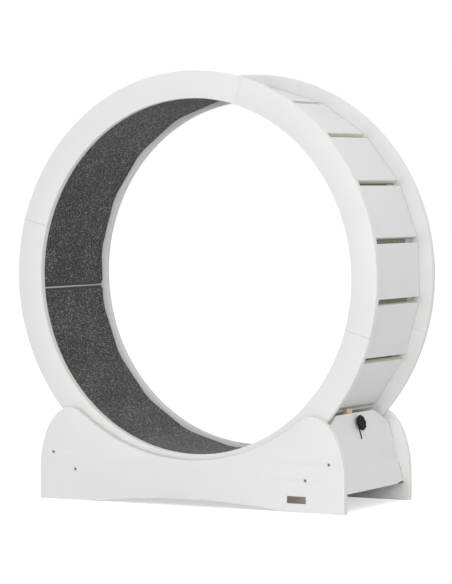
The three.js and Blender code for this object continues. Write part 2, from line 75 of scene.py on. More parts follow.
MAT_WIDTH = 0.305
MAT_THICKNESS = 0.007
MAT_SEAM_ANGLE = 184.3
MAT_SEAM_GAP = 0.004
MAT_FLAT_HALF = 0.060
MAT_CORNER_R = 0.012
MAT_EDGE_R = 0.0022
MAT_RAGGED = 0.0005  # how far its long edges wander
MAT_BEND_SOFTNESS = 0.0004
PILE_HEIGHT = 0.0003
BINDING_WIDTH = 0.0075  # pressed and bound ends of the mats
BINDING_SUNK = 0.0025
BINDING_RISE = 0.002  # along the run, from the pressed end to the full pile
BINDING_BLEND = 0.0017  # along the run, from the binding's colour to the pile's
BACKING_HALF = 0.121  # dark middle of the mats' underside
STRIP_THICKNESS = 0.0032
STRIP_HALF = 0.015
STRIP_INSET = 0.003  # from a mat's ends
STRIP_SIDE_INSET = 0.006
STRIP_CORNER_R = 0.003
STRIP_EDGE_R = 0.0004
SEAM_BAR_HALF = 0.0045
SEAM_BAR_RISE = 0.0040  # its ridge between the mats, from their backs
SEAM_BAR_SIDE_INSET = 0.003
SEAM_BAR_EDGE_R = 0.0003
SEAM_RIDGE_R = 0.0006

PANEL_ARC_R = 0.5257  # concave top edge
PANEL_ARC_Z = 0.6444  # its centre, a little above the wheel's axis
EAR_HEIGHT = 0.243
EAR_PEAK_X = 0.357
EAR_SHOULDER_Z = 0.075
FOOT_ARCH_HALF = 0.275
FOOT_ARCH_RISE = 0.017

BOARD_THICKNESS = 0.015
BOARD_LEAN = radians(15)
BOARD_FOOT = Vector((0.436, 0, 0.0464))  # outer face at its bottom edge
BOARD_HEIGHT = 0.201
BOARD_CLIP_Y = 0.108
BOARD_CLIP_DROP = 0.037
BOARD_CLIP_R = (0.002, 0.004)  # of its lower and its upper corner
BOARD_FULL = (0.42, 0.68)  # shares of an end's height between which it meets the panel
BOARD_SCREW_UP = 0.0824  # along the leaning board, from its bottom edge
SHADOW_GAP = 0.0009  # more than TOUCH, between an end board's ends and the panels
BARE_END = 0.038  # where the bottom band is missing; its bare chipboard is darkened as painted shade

# Chip-shaped marks sunk into the white face near a joint, which hold painted shade, in from the
# face's edge and up from the board's bottom
CHIP_INSET = 0.0011  # the face's edge, from the board's end
CHIP_WIDTH = 0.0010
CHIP_DEPTH = 0.0006
CHIP_LINES = ((0.0085, 0.054), (0.118, 0.159))  # from and to
CHIP_TIP = (0.002, 0.008)  # length of a line's pointed foot, at the edge and away from it
CHIP_WEDGE = (
    (BARE_END, 0.0012),
    (0.0046, 0.0012),
    (0.0046, 0.0052),
    (0.0100, 0.0046),
    (BARE_END * 0.7, 0.0030),
)
PITS = ((0.0030, 0.1620), (0.0022, 0.0035))
PIT_R = 0.0018
PIT_DEPTH = 0.005

ROLLER_ANGLE = radians(33.8)
ROLLER_AXLE_R = 0.5553
RAIL_FACE_R = 0.603
RAIL_THICKNESS = 0.018
RAIL_WIDTH = 0.080
TYRE_R = 0.025
HUB_R = 0.018
TYRE_SHOULDER_R = 0.0022
TYRE_CROWN = 0.0002  # how much the tread is higher in its middle
FLANGE_R = 0.0295
FLANGE_THICKNESS = 0.003
HUB_EDGE = 0.0008
HUB_GROOVE_R = (0.0075, 0.015)
HUB_GROOVE_DEPTH = 0.005
HUB_FROM_Y = 0.1505
HUB_TO_Y = 0.1745
TYRE_FROM_Y = 0.154
TYRE_TO_Y = 0.174
FORK_STEEL = 0.0025
FORK_FROM_Y = 0.1475
FORK_TO_Y = 0.1775
FORK_FOOT_HALF = 0.028
FORK_LEG_HALF = 0.016
FORK_EYE_R = 0.009
FORK_CORNER_R = 0.004
FORK_SHOULDER = 0.005  # below its taper, from the rail
FORK_EYE_ARC = (radians(10), radians(170))
FORK_HOLES = (0.022, 0.0085)  # from the foot's middle, along X and along Y
FORK_HOLE_R = 0.00225
STEEL_EDGE_R = 0.0004
PIN_R = 0.004
PIN_HEAD_R = 0.0065
PIN_HEAD_HEIGHT = 0.0015
PIN_HEAD_EDGE = 0.0005
PAN_R = 0.0040  # heads of the brackets' screws
PAN_HEIGHT = 0.0024
PAN_ROUNDING = (0.0002, 0.0014)  # at its foot and its top
CROSS_HALF = 0.0005
CROSS_REACH = 0.0019
CROSS_TAPER = 0.0002
CROSS_FLOOR = 0.0010

SCREW_HEAD_R = 0.0044
SCREW_HEAD_EDGE_R = 0.0006
SCREW_SUNK = 0.0005
SCREW_SOCKET_R = 0.0023
SCREW_SOCKET_CHAMFER = 0.0002
SCREW_SOCKET_DEPTH = 0.0025
SCREW_HEAD_HEIGHT = 0.003
SCREW_R = 0.003
SCREW_LENGTH = 0.050
SCREW_PLAIN = 0.006  # unthreaded, under the head
THREADED_SHARE = 0.7
THREAD_TURNS = 18
THREAD_ROOT_SHARE = 0.8  # of the screw's radius
THREAD_CREST_TO, THREAD_ROOT_AT = 0.0002, 0.0011  # along each turn

BOLT_R = 0.003
BOLT_UP = 0.172  # above the end board's bottom edge, brake raised
BOLT_BEYOND = 0.0075  # its end, past the washer
BOLT_CHAMFER = 0.0006
BOLT_HEAD_R = 0.007
BOLT_HEAD_EDGE = 0.001
BOLT_DOME = 0.0023
BRAKE_TRAVEL = 0.038
BRAKE_SLOT_R = 0.0035
BLOCK_HALF = 0.015
BLOCK_THICKNESS = 0.020
BLOCK_BELOW = 0.025  # from the bolt to its lower end
BLOCK_EDGE_R = 0.0014
BRAKE_CLEARANCE = 0.002  # from the path of the slats' corners
WASHER_R = 0.009
WASHER_THICKNESS = 0.0015
WASHER_EDGE = 0.0003
KNOB_R = 0.020
KNOB_LOBES = 8
KNOB_LOBE_DEPTH = 0.0024
KNOB_BOSS_R = 0.011
KNOB_BOSS_HEIGHT = 0.003
KNOB_GRIP_HEIGHT = 0.009
KNOB_GRIP_EDGE_R = 0.0022
KNOB_BOSS_EDGE = 0.0006
KNOB_BOSS_FILLET = 0.0004
KNOB_UNDERCUT = (0.0035, 0.7)  # in from the rim behind the lobes, and share of their depth
KNOB_BORE_DEPTH = 0.0078
KNOB_FACE = (  # radius, how far it is sunk, share of the lobes' depth
    (0.0150, 0.0002, 0.4),
    (0.0128, 0.0010, 0),
    (0.0100, 0.0014, 0),
    (0.0096, 0.0018, 0),
    (0.0088, 0.0018, 0),
    (0.0084, 0.0012, 0),
    (0.0060, 0.0009, 0),
    (0, 0.0008, 0),
)

PLATE_SIZE = (0.053, 0.018)  # blank plate on the front panel
PLATE_MIDDLE = (0.3155, 0.0315)  # X and Z
PLATE_PROUD = 0.0006
PLATE_CORNER_R = 0.0016
PLATE_LEAST_R = 0.0004  # of the corners inside its border
PLATE_BORDER = 0.0011
PLATE_BORDER_EDGE_R = 0.0002
PLATE_FIELD_INSET = 0.0005
PLATE_FIELD_SUNK = 0.0002
PLATE_FIELD_EDGE_R = 0.0001

# ---------------------------------------------------------------- sizes worked out

panel_low, panel_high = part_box("back_side_panel")
rim_low, rim_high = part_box("back_rim_1")
board_end_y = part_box("right_end_board")[1].y
slat_pitch = 2 * pi / SLATS
slat_inner_r = SLAT_FACE_R - SLAT_THICKNESS
slat_middle_r = SLAT_FACE_R - SLAT_THICKNESS / 2
slat_half_width = SLAT_FACE_R * tan(slat_pitch / 2) - SLAT_SLOT / 2
slat_end_y = rim_low.y - TOUCH
slat_corner_r = hypot(SLAT_FACE_R, slat_half_width)
mat_back_r = slat_inner_r - TOUCH - STRIP_THICKNESS
first_seam = radians(SEAM_ANGLE)

# ---------------------------------------------------------------- nodes


class Value:
    """A socket that a node gives out. Sums and products of values add Math nodes."""

    def __init__(self, nodes, socket):
        self.nodes = nodes
        self.socket = socket

    def __add__(self, other):
        return self.nodes.math("ADD", self, other)

    def __sub__(self, other):
        return self.nodes.math("SUBTRACT", self, other)

    def __rsub__(self, other):
        return self.nodes.math("SUBTRACT", other, self)

    def __mul__(self, other):
        return self.nodes.math("MULTIPLY", self, other)

    __radd__ = __add__
    __rmul__ = __mul__


class Nodes:
    """The nodes of a material or of the world."""

    def __init__(self, tree):
        self.tree = tree

    def node(self, kind, settings=None, inputs=None, output=0):
        """Adds a node, with its settings first and then its sockets' values or links."""
        made = self.tree.nodes.new("ShaderNode" + kind)
        for setting, value in (settings or {}).items():
            if setting == "stops":
                self.set_stops(made.color_ramp, value)
            else:
                setattr(made, setting, value)
        for socket, value in (inputs or {}).items():
            self.feed(made.inputs[socket], value)
        return Value(self, made.outputs[output])

    def feed(self, socket, value):
        if isinstance(value, Value):
            self.tree.links.new(value.socket, socket)
        else:
            socket.default_value = value

    def set_stops(self, ramp, stops):
        while len(ramp.elements) < len(stops):
            ramp.elements.new(1)
        for element, (place, colour) in zip(ramp.elements, stops):
            element.position = place
            element.color = colour

    def math(self, operation, *values):
        return self.node("Math", {"operation": operation}, dict(enumerate(values)))

    def place(self):
        """The piece's own coordinates, in metres."""
        return self.node("TexCoord", output="Object")

    def scaled(self, place, *scale):
        return self.node("VectorMath", {"operation": "MULTIPLY"}, {0: place, 1: scale})

    def noise(self, place, scale, detail=2, roughness=0.5, distortion=0):
        inputs = {"Vector": place, "Scale": scale, "Detail": detail}
        inputs.update({"Roughness": roughness, "Distortion": distortion})
        return self.node("TexNoise", inputs=inputs)

    def cells(self, place, scale, randomness=1):
        """One random grey for each cell."""
        inputs = {"Vector": place, "Scale": scale, "Randomness": randomness}
        return self.node("TexVoronoi", inputs=inputs, output="Color")

    def between(self, value, low, high, to_low=0, to_high=1):
        inputs = {"Value": value, "From Min": low, "From Max": high}
        inputs.update({"To Min": to_low, "To Max": to_high})
        return self.node("MapRange", inputs=inputs)

    def mix(self, share, first, second):
        """A colour between two colours."""
        return self.node("Mix", {"data_type": "RGBA"}, {0: share, 6: first, 7: second}, output=2)

    def ramp(self, value, stops):
        return self.node("ValToRGB", {"stops": stops}, {"Fac": value})

    def bump(self, height, depth):
        """A normal from a height of 0 to 1, which stands for depth metres."""
        return self.node("Bump", inputs={"Height": height, "Distance": depth, "Strength": 1})


class Look(Nodes):
    """A material with one Principled shader."""

    def __init__(self, name, constants=None):
        self.material = bpy.data.materials.new(name)
        self.material.use_nodes = True
        super().__init__(self.material.node_tree)
        self.shader = self.tree.nodes["Principled BSDF"]
        for socket, value in (constants or {}).items():
            self.shader.inputs[socket].default_value = value

    def shows(self, **sockets):
        for socket, value in sockets.items():
            self.feed(self.shader.inputs[socket.replace("_", " ").title()], value)
        return self.material


def grey(level, warmth=0.0):
    """A colour from a level of 0 to 255 as a screen shows it, warmer or cooler in equal steps."""
    shown = [(level + step * warmth) / 255 for step in (1, 0, -1)]
    return (*[c / 12.92 if c <= 0.04045 else ((c + 0.055) / 1.055) ** 2.4 for c in shown], 1)


def tint(red, green, blue):
    """A colour from screen levels of 0 to 255."""
    return (grey(red)[0], grey(green)[0], grey(blue)[0], 1)


# ---------------------------------------------------------------- materials


def white_laminate():
    """White faces of the boards: satin, with a faint pearl grain and smudges."""
    look = Look("white laminate", {"Specular IOR Level": 0.45})
    place = look.place()
    cloud = look.noise(place, 5, 3)
    grain = look.noise(place, 900, 2, 0.6)
    smudge = look.noise(place, 16, 4, 0.65, 0.6)
    tone = look.between(cloud + 0.25 * grain, 0.45, 0.85)
    return look.shows(
        base_color=look.mix(tone, grey(231.5), grey(234.5, 0.3)),
        roughness=0.36 + 0.12 * smudge + 0.05 * grain,
        normal=look.bump(grain, depth=0.00004),
    )


def edge_band(name, dark, light):
    """Edging strip on the boards' narrow sides: a little creamier and duller than the faces."""
    look = Look(name, {"Specular IOR Level": 0.4})
    place = look.place()
    cloud = look.noise(place, 24, 3)
    scrape = look.noise(look.scaled(place, 1, 14, 1), 160, 3, 0.6)
    return look.shows(
        base_color=look.mix(cloud, dark, light),
        roughness=0.42 + 0.16 * scrape,
        normal=look.bump(scrape, depth=0.00005),
    )


def raw_chipboard(name, dark, middle, light):
    """Bare sawn edge: pressed chips and dark gaps between them."""
    look = Look(name, {"Roughness": 0.85})
    place = look.place()
    chips = look.cells(place, 420)
    dust = look.noise(place, 900, 3, 0.6)
    stops = [(0.1, dark), (0.4, middle), (0.8, light)]
    return look.shows(
        base_color=look.ramp(0.6 * chips + 0.4 * dust, stops),
        normal=look.bump(chips + 0.6 * dust, depth=0.0004),
    )


def along_lining(look):
    """Coordinates on the lining: metres along the run, metres across, and the radius. Also how
    far a point is from the plane through both seams."""
    turned = look.node(
        "VectorRotate",
        {"rotation_type": "Y_AXIS"},
        {
            "Vector": look.place(),
            "Center": (0, 0, AXLE_Z),
            "Angle": radians(MAT_SEAM_ANGLE - 180),
        },
    )
    x, y, z = (look.node("SeparateXYZ", None, {0: turned}, axis) for axis in range(3))
    up = z - AXLE_Z
    angle = look.math("ARCTAN2", up, x)
    out = look.math("SQRT", x * x + up * up)
    place = look.node("CombineXYZ", None, {0: angle * mat_back_r, 1: y, 2: out})
    return place, look.math("ABSOLUTE", up)


def heather_carpet():
    """Needled carpet: light fibres in small curls on a dark ground, and a bound dark blue-grey
    edge along each seam."""
    look = Look("heather carpet", {"Roughness": 0.95, "Sheen Weight": 0.2, "Sheen Roughness": 0.6})
    place, from_seam = along_lining(look)
    clumps = look.noise(look.scaled(place, 250, 165, 250), 1, 2, 0.5, 0.9)
    threads = look.noise(look.scaled(place, 330, 560, 330), 1, 2, 0.6, 1.4)
    fibres = look.noise(look.scaled(place, 1500, 2300, 1500), 1, 2, 0.6, 2.5)
    shade = look.noise(place, 9, 2)
    tone = 0.72 * clumps + 0.2 * threads + 0.08 * fibres + 0.1 * (shade - 0.5)
    stops = [
        (0.44, grey(3)),
        (0.482, grey(14)),
        (0.515, grey(40)),
        (0.547, grey(79)),
        (0.595, grey(136)),
    ]
    cool = look.noise(place, 60, 2)
    pile = look.mix(cool, look.ramp(tone, warmer(stops)), look.ramp(tone, cooler(stops)))
    bound_to = MAT_SEAM_GAP / 2 + BINDING_WIDTH
    pile_here = look.between(from_seam, bound_to, bound_to + BINDING_BLEND)
    binding = look.mix(threads, tint(36, 38, 46), tint(58, 61, 71))
    height = 0.5 * clumps + 0.3 * threads + 0.2 * fibres
    return look.shows(
        base_color=look.mix(pile_here, binding, pile),
        normal=look.bump(height * (0.3 + 0.7 * pile_here), depth=0.0016),
    )


def warmer(stops):
    """The same greys, a touch browner."""
    return [(at, (c[0] * 1.04, c[1] * 1.01, c[2] * 0.95, 1)) for at, c in stops]


def cooler(stops):
    """The same greys, a touch bluer."""
    return [(at, (c[0] * 0.93, c[1] * 1.01, c[2] * 1.06, 1)) for at, c in stops]


def mat_backing():
    """Dark middle of the mats' underside: a coarse brown-grey web."""
    look = Look("mat backing", {"Roughness": 0.9})
    place, _ = along_lining(look)
    web = look.noise(look.scaled(place, 500, 120, 500), 1, 3, 0.6)
    tone = look.between(web, 0.35, 0.65)
    return look.shows(
        base_color=look.mix(tone, tint(140, 138, 122), tint(178, 175, 158)),
        normal=look.bump(web, depth=0.0005),
    )


def mat_selvedge():
    """Pale border of the mats' underside."""
    look = Look("mat selvedge", {"Roughness": 0.8})
    place, _ = along_lining(look)
    web = look.noise(look.scaled(place, 300, 700, 300), 1, 3, 0.6)
    return look.shows(
        base_color=look.mix(web, tint(205, 204, 214), tint(226, 225, 232)),
        normal=look.bump(web, depth=0.0003),
    )


def hook_strip():
    """Black hook-and-loop tape under the mats."""
    look = Look("hook strip", {"Roughness": 0.9})
    place, _ = along_lining(look)
    hooks = look.cells(place, 700, 0.6)
    return look.shows(
        base_color=look.mix(hooks, grey(24), grey(52)),
        normal=look.bump(hooks, depth=0.0006),
    )


def pale_wood():
    """Planed pine: pale, with wavy growth lines along the block."""
    look = Look("pale wood", {"Specular IOR Level": 0.35})
    place = look.scaled(look.place(), 1, 1, 0.14)
    wave = look.noise(place, 60, 3, 0.55)
    lines = look.math("FRACT", wave * 9)
    rings = look.math("MULTIPLY", lines, lines)
    pores = look.noise(look.scaled(place, 6, 6, 1), 300, 2, 0.6)
    tone = look.between(0.75 * rings + 0.35 * pores, 0.05, 1)
    return look.shows(
        base_color=look.mix(tone, tint(238, 220, 194), tint(218, 190, 156)),
        roughness=0.55 + 0.2 * pores,
        normal=look.bump(tone, depth=0.00012),
    )


def zinc_steel(name, level, low, high):
    """Plated steel with faint crystals."""
    look = Look(name, {"Metallic": 1})
    place = look.place()
    crystals = look.cells(place, 320)
    haze = look.noise(place, 130, 3, 0.6)
    return look.shows(
        base_color=look.mix(crystals, grey(level - 8), grey(level + 6, 0.6)),
        roughness=low + (high - low) * haze,
        normal=look.bump(haze, depth=0.00003),
    )


def tyre_rubber():
    """Dark grey rubber with fine moulding grain and a dusty tread."""
    look = Look("tyre rubber", {"Specular IOR Level": 0.35})
    place = look.place()
    grain = look.noise(place, 1400, 2)
    dust = look.noise(place, 90, 3, 0.6)
    return look.shows(
        base_color=look.mix(dust, tint(50, 53, 55), tint(72, 75, 76)),
        roughness=0.7 + 0.2 * dust,
        normal=look.bump(grain, depth=0.00008),
    )


def nylon(name, dark, light):
    """Moulded nylon with faint flow lines."""
    look = Look(name, {"Subsurface Weight": 0.05})
    place = look.place()
    flow = look.noise(look.scaled(place, 1, 3, 1), 45, 3)
    grain = look.noise(place, 1500, 2)
    return look.shows(
        base_color=look.mix(flow, dark, light),
        roughness=0.42 + 0.15 * flow,
        normal=look.bump(grain, depth=0.00003),
    )


def black_plastic():
    """Moulded knob: spark-eroded grain, and a little greyer in patches."""
    look = Look("black plastic", {"Specular IOR Level": 0.3})
    place = look.place()
    grain = look.noise(place, 1300, 2, 0.7)
    rub = look.noise(place, 110, 3)
    return look.shows(
        base_color=look.mix(rub, grey(8), grey(15)),
        roughness=0.6 + 0.16 * rub + 0.1 * grain,
        normal=look.bump(grain, depth=0.00012),
    )


def plate_metal(name, dark, light):
    """Brushed plate, with the brush strokes along X."""
    look = Look(name, {"Metallic": 1})
    strokes = look.noise(look.scaled(look.place(), 30, 1, 1800), 1, 3, 0.6)
    return look.shows(
        base_color=look.mix(strokes, dark, light),
        roughness=0.34 + 0.2 * strokes,
        normal=look.bump(strokes, depth=0.00003),
    )


WHITE = white_laminate()
BAND = edge_band("pale edge band", tint(234, 234, 229), tint(239, 239, 235))
CREAM_BAND = edge_band("cream edge band", tint(225, 224, 212), tint(231, 230, 220))
RAW = raw_chipboard("raw chipboard", tint(98, 74, 52), tint(150, 118, 84), tint(186, 154, 114))
# Very dark chipboard: painted shade in the brake slot, in the marks and pits along the joints, and
# on the bare stretch of a bottom edge.
PAINTED_SHADE_CHIPBOARD = raw_chipboard("chipboard in painted shade", tint(36, 30, 24), tint(60, 50, 40), tint(88, 75, 60))
CARPET = heather_carpet()
BACKING = mat_backing()
SELVEDGE = mat_selvedge()
HOOKS = hook_strip()
WOOD = pale_wood()
STEEL = zinc_steel("zinc-plated steel", 200, 0.3, 0.5)
# The screws' sockets: the same zinc steel painted dark, as painted shade inside the recess.
SHADED_SOCKET_STEEL = zinc_steel("screw socket in painted shade", 45, 0.5, 0.7)
RUBBER = tyre_rubber()
NYLON = nylon("white nylon", grey(208, -1), grey(220, -0.5))
SEAM_NYLON = nylon("pale blue-grey nylon", tint(213, 217, 225), tint(225, 228, 235))
PLASTIC = black_plastic()
PLATE = plate_metal("brushed plate", tint(108, 101, 94), tint(146, 138, 128))
TRIM = plate_metal("plate border", tint(84, 80, 74), tint(112, 106, 98))

# ---------------------------------------------------------------- outlines


def arc(cx, cy, rx, ry, start, end, steps):
    """Points on an arc of an ellipse, with the angles in radians anticlockwise from +u."""
    angles = [start + (end - start) * i / steps for i in range(steps + 1)]
    return [Vector((cx + rx * cos(a), cy + ry * sin(a))) for a in angles]


def circle(cx, cy, r, steps):
    return arc(cx, cy, r, r, 0, 2 * pi, steps)[:-1]


def softened(corners, steps=4):
    """A closed outline from (u, v, radius) corners, each rounded to its radius."""
    points = []
    for i, (u, v, radius) in enumerate(corners):
        here = Vector((u, v))
        to_last = (Vector(corners[i - 1][:2]) - here).normalized()
        to_next = (Vector(corners[(i + 1) % len(corners)][:2]) - here).normalized()
        half = to_last.angle(to_next) / 2
        if radius == 0 or half > radians(89):
            points.append(here)
            continue
        centre = here + (to_last + to_next).normalized() * radius / sin(half)
        first = here + to_last * radius / tan(half) - centre
        turn = first.angle_signed(here + to_next * radius / tan(half) - centre)
        for k in range(steps + 1):
            points.append(centre + Matrix.Rotation(-turn * k / steps, 2) @ first)
    return points


def rectangle(low_u, low_v, high_u, high_v, radius=0):
    corners = [(low_u, low_v), (high_u, low_v), (high_u, high_v), (low_u, high_v)]
    return softened([(*corner, radius) for corner in corners])


def miters(outline):
    """For each point, how far it moves out when its two sides move out by 1."""
    moves = []
    for i, here in enumerate(outline):
        before = (here - outline[i - 1]).normalized()
        after = (outline[(i + 1) % len(outline)] - here).normalized()
        n0, n1 = Vector((before.y, -before.x)), Vector((after.y, -after.x))
        moves.append((n0 + n1) / (1 + n0.dot(n1)))
    return moves


# ---------------------------------------------------------------- shapes


class Shape:
    """The points and faces of a piece, in its own (u, v, w) coordinates."""

    def __init__(self):
        self.points = []
        self.faces = []
        self.looks = []
        self.smooth = []

    def ring(self, points):
        first = len(self.points)
        self.points.extend(Vector(p) for p in points)
        return list(range(first, len(self.points)))

    def face(self, corners, look=0, smooth=True):
        self.faces.append(tuple(corners))
        self.looks.append(look)
        self.smooth.append(smooth)

    def wall(self, lower, upper, looks=0):
        """Faces between two rings, which may be single points."""
        count = max(len(lower), len(upper))
        for i in range(count):
            j = (i + 1) % count
            corners = [lower[i % len(lower)], lower[j % len(lower)]]
            corners += [upper[j % len(upper)], upper[i % len(upper)]]
            look = looks[i] if isinstance(looks, list) else looks
            self.face(dict.fromkeys(corners), look)

    def cap(self, rings, look=0, up=1):
        """A flat face inside the first ring, with the other rings as holes."""
        numbers = [n for ring in rings for n in ring]
        for triangle in tessellate_polygon([[self.points[n] for n in ring] for ring in rings]):
            a, b, c = (self.points[numbers[k]] for k in triangle)
            facing = (b - a).cross(c - a).z * up
            corners = [numbers[k] for k in (triangle if facing > 0 else triangle[::-1])]
            self.face(corners, look, smooth=False)

    def add(self, other, place=Matrix()):
        first = len(self.points)
        self.points.extend(place @ p for p in other.points)
        self.faces.extend(tuple(first + n for n in face) for face in other.faces)
        self.looks.extend(other.looks)
        self.smooth.extend(other.smooth)
        return self


def board(outline, bottom, top, rounding=BOARD_EDGE_R, holes=(), edges=1, bore=1, steps=3):
    """A flat board between two heights. Each hole is an outline with (grow, height) steps from
    the top face down, and goes through if the last height is the bottom's. Edges and bore are
    the numbers of their looks. The rounding may be two numbers, for the bottom and the top."""
    shape = Shape()
    low_r, high_r = rounding if isinstance(rounding, tuple) else (rounding, rounding)

    def ring(points, grow, height):
        return shape.ring((*(p + m * grow), height) for p, m in zip(points, miters(points)))

    turns = [pi / 2 * k / steps for k in range(steps + 1)]
    levels = [(low_r * (sin(a) - 1), bottom + low_r * (1 - cos(a))) for a in turns]
    levels += [(high_r * (cos(a) - 1), top - high_r * (1 - sin(a))) for a in turns]
    rings = [ring(outline, *level) for level in levels]
    for lower, upper in zip(rings, rings[1:]):
        shape.wall(lower, upper, edges)
    tops, bottoms = [rings[-1]], [rings[0]]
    for points, steps_down in holes:
        hole = [ring(points, *level) for level in steps_down]
        tops.append(hole[0])
        for upper, lower in zip(hole, hole[1:]):
            shape.wall(lower, upper, bore)
        if steps_down[-1][1] == bottom:
            bottoms.append(hole[-1])
        else:
            shape.cap([hole[-1]], bore)
    shape.cap(tops)
    shape.cap(bottoms, up=-1)
    return shape


def lathe(profile, steps=64, look=0, lobes=0):
    """A profile of (radius, height) points, or (radius, height, dip between lobes), turned
    about w. It runs anticlockwise, and closes on itself unless it ends on the axis."""
    shape = Shape()
    rings = []
    for r, w, *dip in profile:
        if r == 0:
            rings.append(shape.ring([(0, 0, w)]))
            continue
        points = []
        for i in range(steps):
            a = 2 * pi * i / steps
            here = r - (dip[0] * (1 - cos(lobes * a)) / 2 if dip else 0)
            points.append((here * cos(a), here * sin(a), w))
        rings.append(shape.ring(points))
    if profile[0][0] > 0:
        rings.append(rings[0])
    for lower, upper in zip(rings, rings[1:]):
        shape.wall(lower, upper, look)
    return shape


def upright(towards=-1):
    """Stands a board up, with its top face towards the front (-1) or the back (1)."""
    return Matrix.Rotation(pi if towards > 0 else 0, 4, "Z") @ Matrix.Rotation(pi / 2, 4, "X")


FACING_RIGHT = Matrix(((0, 0, 1, 0), (1, 0, 0, 0), (0, 1, 0, 0), (0, 0, 0, 1)))
ALONG_Y = Matrix(((0, 1, 0, 0), (0, 0, 1, 0), (1, 0, 0, 0), (0, 0, 0, 1)))
HALF_TURN = Matrix.Rotation(pi, 4, "Z")


def on_wheel(angle):
    """From the wheel's +X side to an angle towards +Z."""
    return Matrix.Translation((0, 0, AXLE_Z)) @ Matrix.Rotation(-angle, 4, "Y")


def on_end(hand):
    """From an end board's own frame, with X out of its outer face, to its place."""
    lean = Matrix.Translation(BOARD_FOOT) @ Matrix.Rotation(-BOARD_LEAN, 4, "Y")
    return lean if hand == "right" else HALF_TURN @ lean


def on_cradle(hand):
    """From the rail straight below the axle to its place."""
    right = on_wheel(ROLLER_ANGLE)
    return right if hand == "right" else HALF_TURN @ right


def piece(name, shape, looks, body, place=Matrix(), stands_for=()):
    """Makes a piece that rides on a body, and stands for the CAD nodes that it replaces."""
    mesh = bpy.data.meshes.new(name)
    mesh.from_pydata([place @ p for p in shape.points], [], shape.faces)
    for look in looks:
        mesh.materials.append(look)
    mesh.polygons.foreach_set("material_index", shape.looks)
    mesh.polygons.foreach_set("use_smooth", shape.smooth)
    work = bmesh.new()
    work.from_mesh(mesh)
    bmesh.ops.recalc_face_normals(work, faces=work.faces)
    work.to_mesh(mesh)
    work.free()
    mesh.set_sharp_from_angle(angle=radians(38))
    mesh.update()
    made = bpy.data.objects.new(name, mesh)
    bpy.context.scene.collection.objects.link(made)
    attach(made, body)
    if stands_for:
        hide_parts(*stands_for)
    return made


# ---------------------------------------------------------------- wheel


def rim_quarter(edge_r):
    """A quarter ring with its inner side up, and blind holes there for the slats' dowels."""
    trim = TOUCH / 2 / RIM_INNER_R
    thickness = rim_high.y - rim_low.y
    steps = 90
    outer = arc(0, 0, RIM_OUTER_R, RIM_OUTER_R, trim, pi / 2 - trim, steps)
    inner = arc(0, 0, RIM_INNER_R, RIM_INNER_R, pi / 2 - trim, trim, steps)
    holes = []
    for i in range(SLATS // RIM_QUARTERS + 1):
        for off in (-DOWEL_OFFSET, DOWEL_OFFSET):
            spot = Matrix.Rotation(i * slat_pitch, 2) @ Vector((slat_middle_r, off))
            if spot.x > DOWEL_R * 2 and spot.y > DOWEL_R * 2:
                bore = circle(*spot, DOWEL_R + TOUCH, 16)[::-1]
                holes.append((bore, [(0, 0), (0, -DOWEL_REACH - TOUCH)]))
    edges = [1] * steps + [0] + [1] * steps + [0]
    return board(outer + inner, -thickness, 0, edge_r, holes, edges)


def make_rims():
    for side, towards in (("front", 1), ("back", -1)):
        quarter = rim_quarter(RIM_EDGE_R[side])
        inner_y = rim_low.y * -towards
        for i in range(RIM_QUARTERS):
            angle = first_seam + i * pi / 2 - (pi / 2 if towards > 0 else 0)
            place = on_wheel(angle) @ Matrix.Translation((0, inner_y, 0)) @ upright(towards)
            piece(
                f"{side}_rim_quarter_{i + 1}", quarter, (WHITE, BAND), "wheel",
                place, [f"{side}_rim_{i + 1}"],
            )


def slat():
    """A slat with its outer face up, with banded long edges and dowels in its raw ends."""
    outline = rectangle(-slat_end_y, -slat_half_width, slat_end_y, slat_half_width)
    shape = board(outline, slat_inner_r, SLAT_FACE_R, edges=[1, 2, 1, 2])
    profile = [(0, 0), (DOWEL_R, 0), (DOWEL_R, DOWEL_REACH - DOWEL_TIP)]
    profile += [(DOWEL_R * 0.75, DOWEL_REACH), (0, DOWEL_REACH)]
    dowel = lathe(profile, 16, look=3)
    for side in (-1, 1):
        for off in (-DOWEL_OFFSET, DOWEL_OFFSET):
            out = Matrix.Rotation(side * pi / 2, 4, "Y")
            shape.add(dowel, Matrix.Translation((side * slat_end_y, off, slat_middle_r)) @ out)
    return shape


def make_slats():
    shape = slat()
    looks = (WHITE, CREAM_BAND, RAW, WOOD)
    for i in range(SLATS):
        place = on_wheel(first_seam + i * slat_pitch) @ FACING_RIGHT
        piece(
            f"slat_board_{i + 1:02d}", shape, looks, "wheel",
            place, [f"slat_{i + 1:02d}"],
        )


def lining_r(angle, flat_r, flat_half):
    """Radius of a side of the lining, which bends softly between each slat and the next."""
    off = abs((angle - first_seam + slat_pitch / 2) % slat_pitch - slat_pitch / 2)
    along_slat = flat_r / cos(off)
    bend = math.atan(flat_half / flat_r)
    chord_r = hypot(flat_r, flat_half) * cos(slat_pitch / 2 - bend)
    across_slot = chord_r / cos(slat_pitch / 2 - off)
    gap = abs(along_slat - across_slot)
    eased_by = MAT_BEND_SOFTNESS * math.log(1 + math.exp(-gap / MAT_BEND_SOFTNESS))
    return min(along_slat, across_slot) - eased_by


def fall(distance, radius):
    """How far a rounded edge has dropped at a distance in from the edge."""
    left = max(radius - distance, 0)
    return radius - sqrt(radius * radius - left * left)


def eased(t):
    """From 0 to 1 with a soft start and stop."""
    t = min(max(t, 0), 1)
    return t * t * (3 - 2 * t)


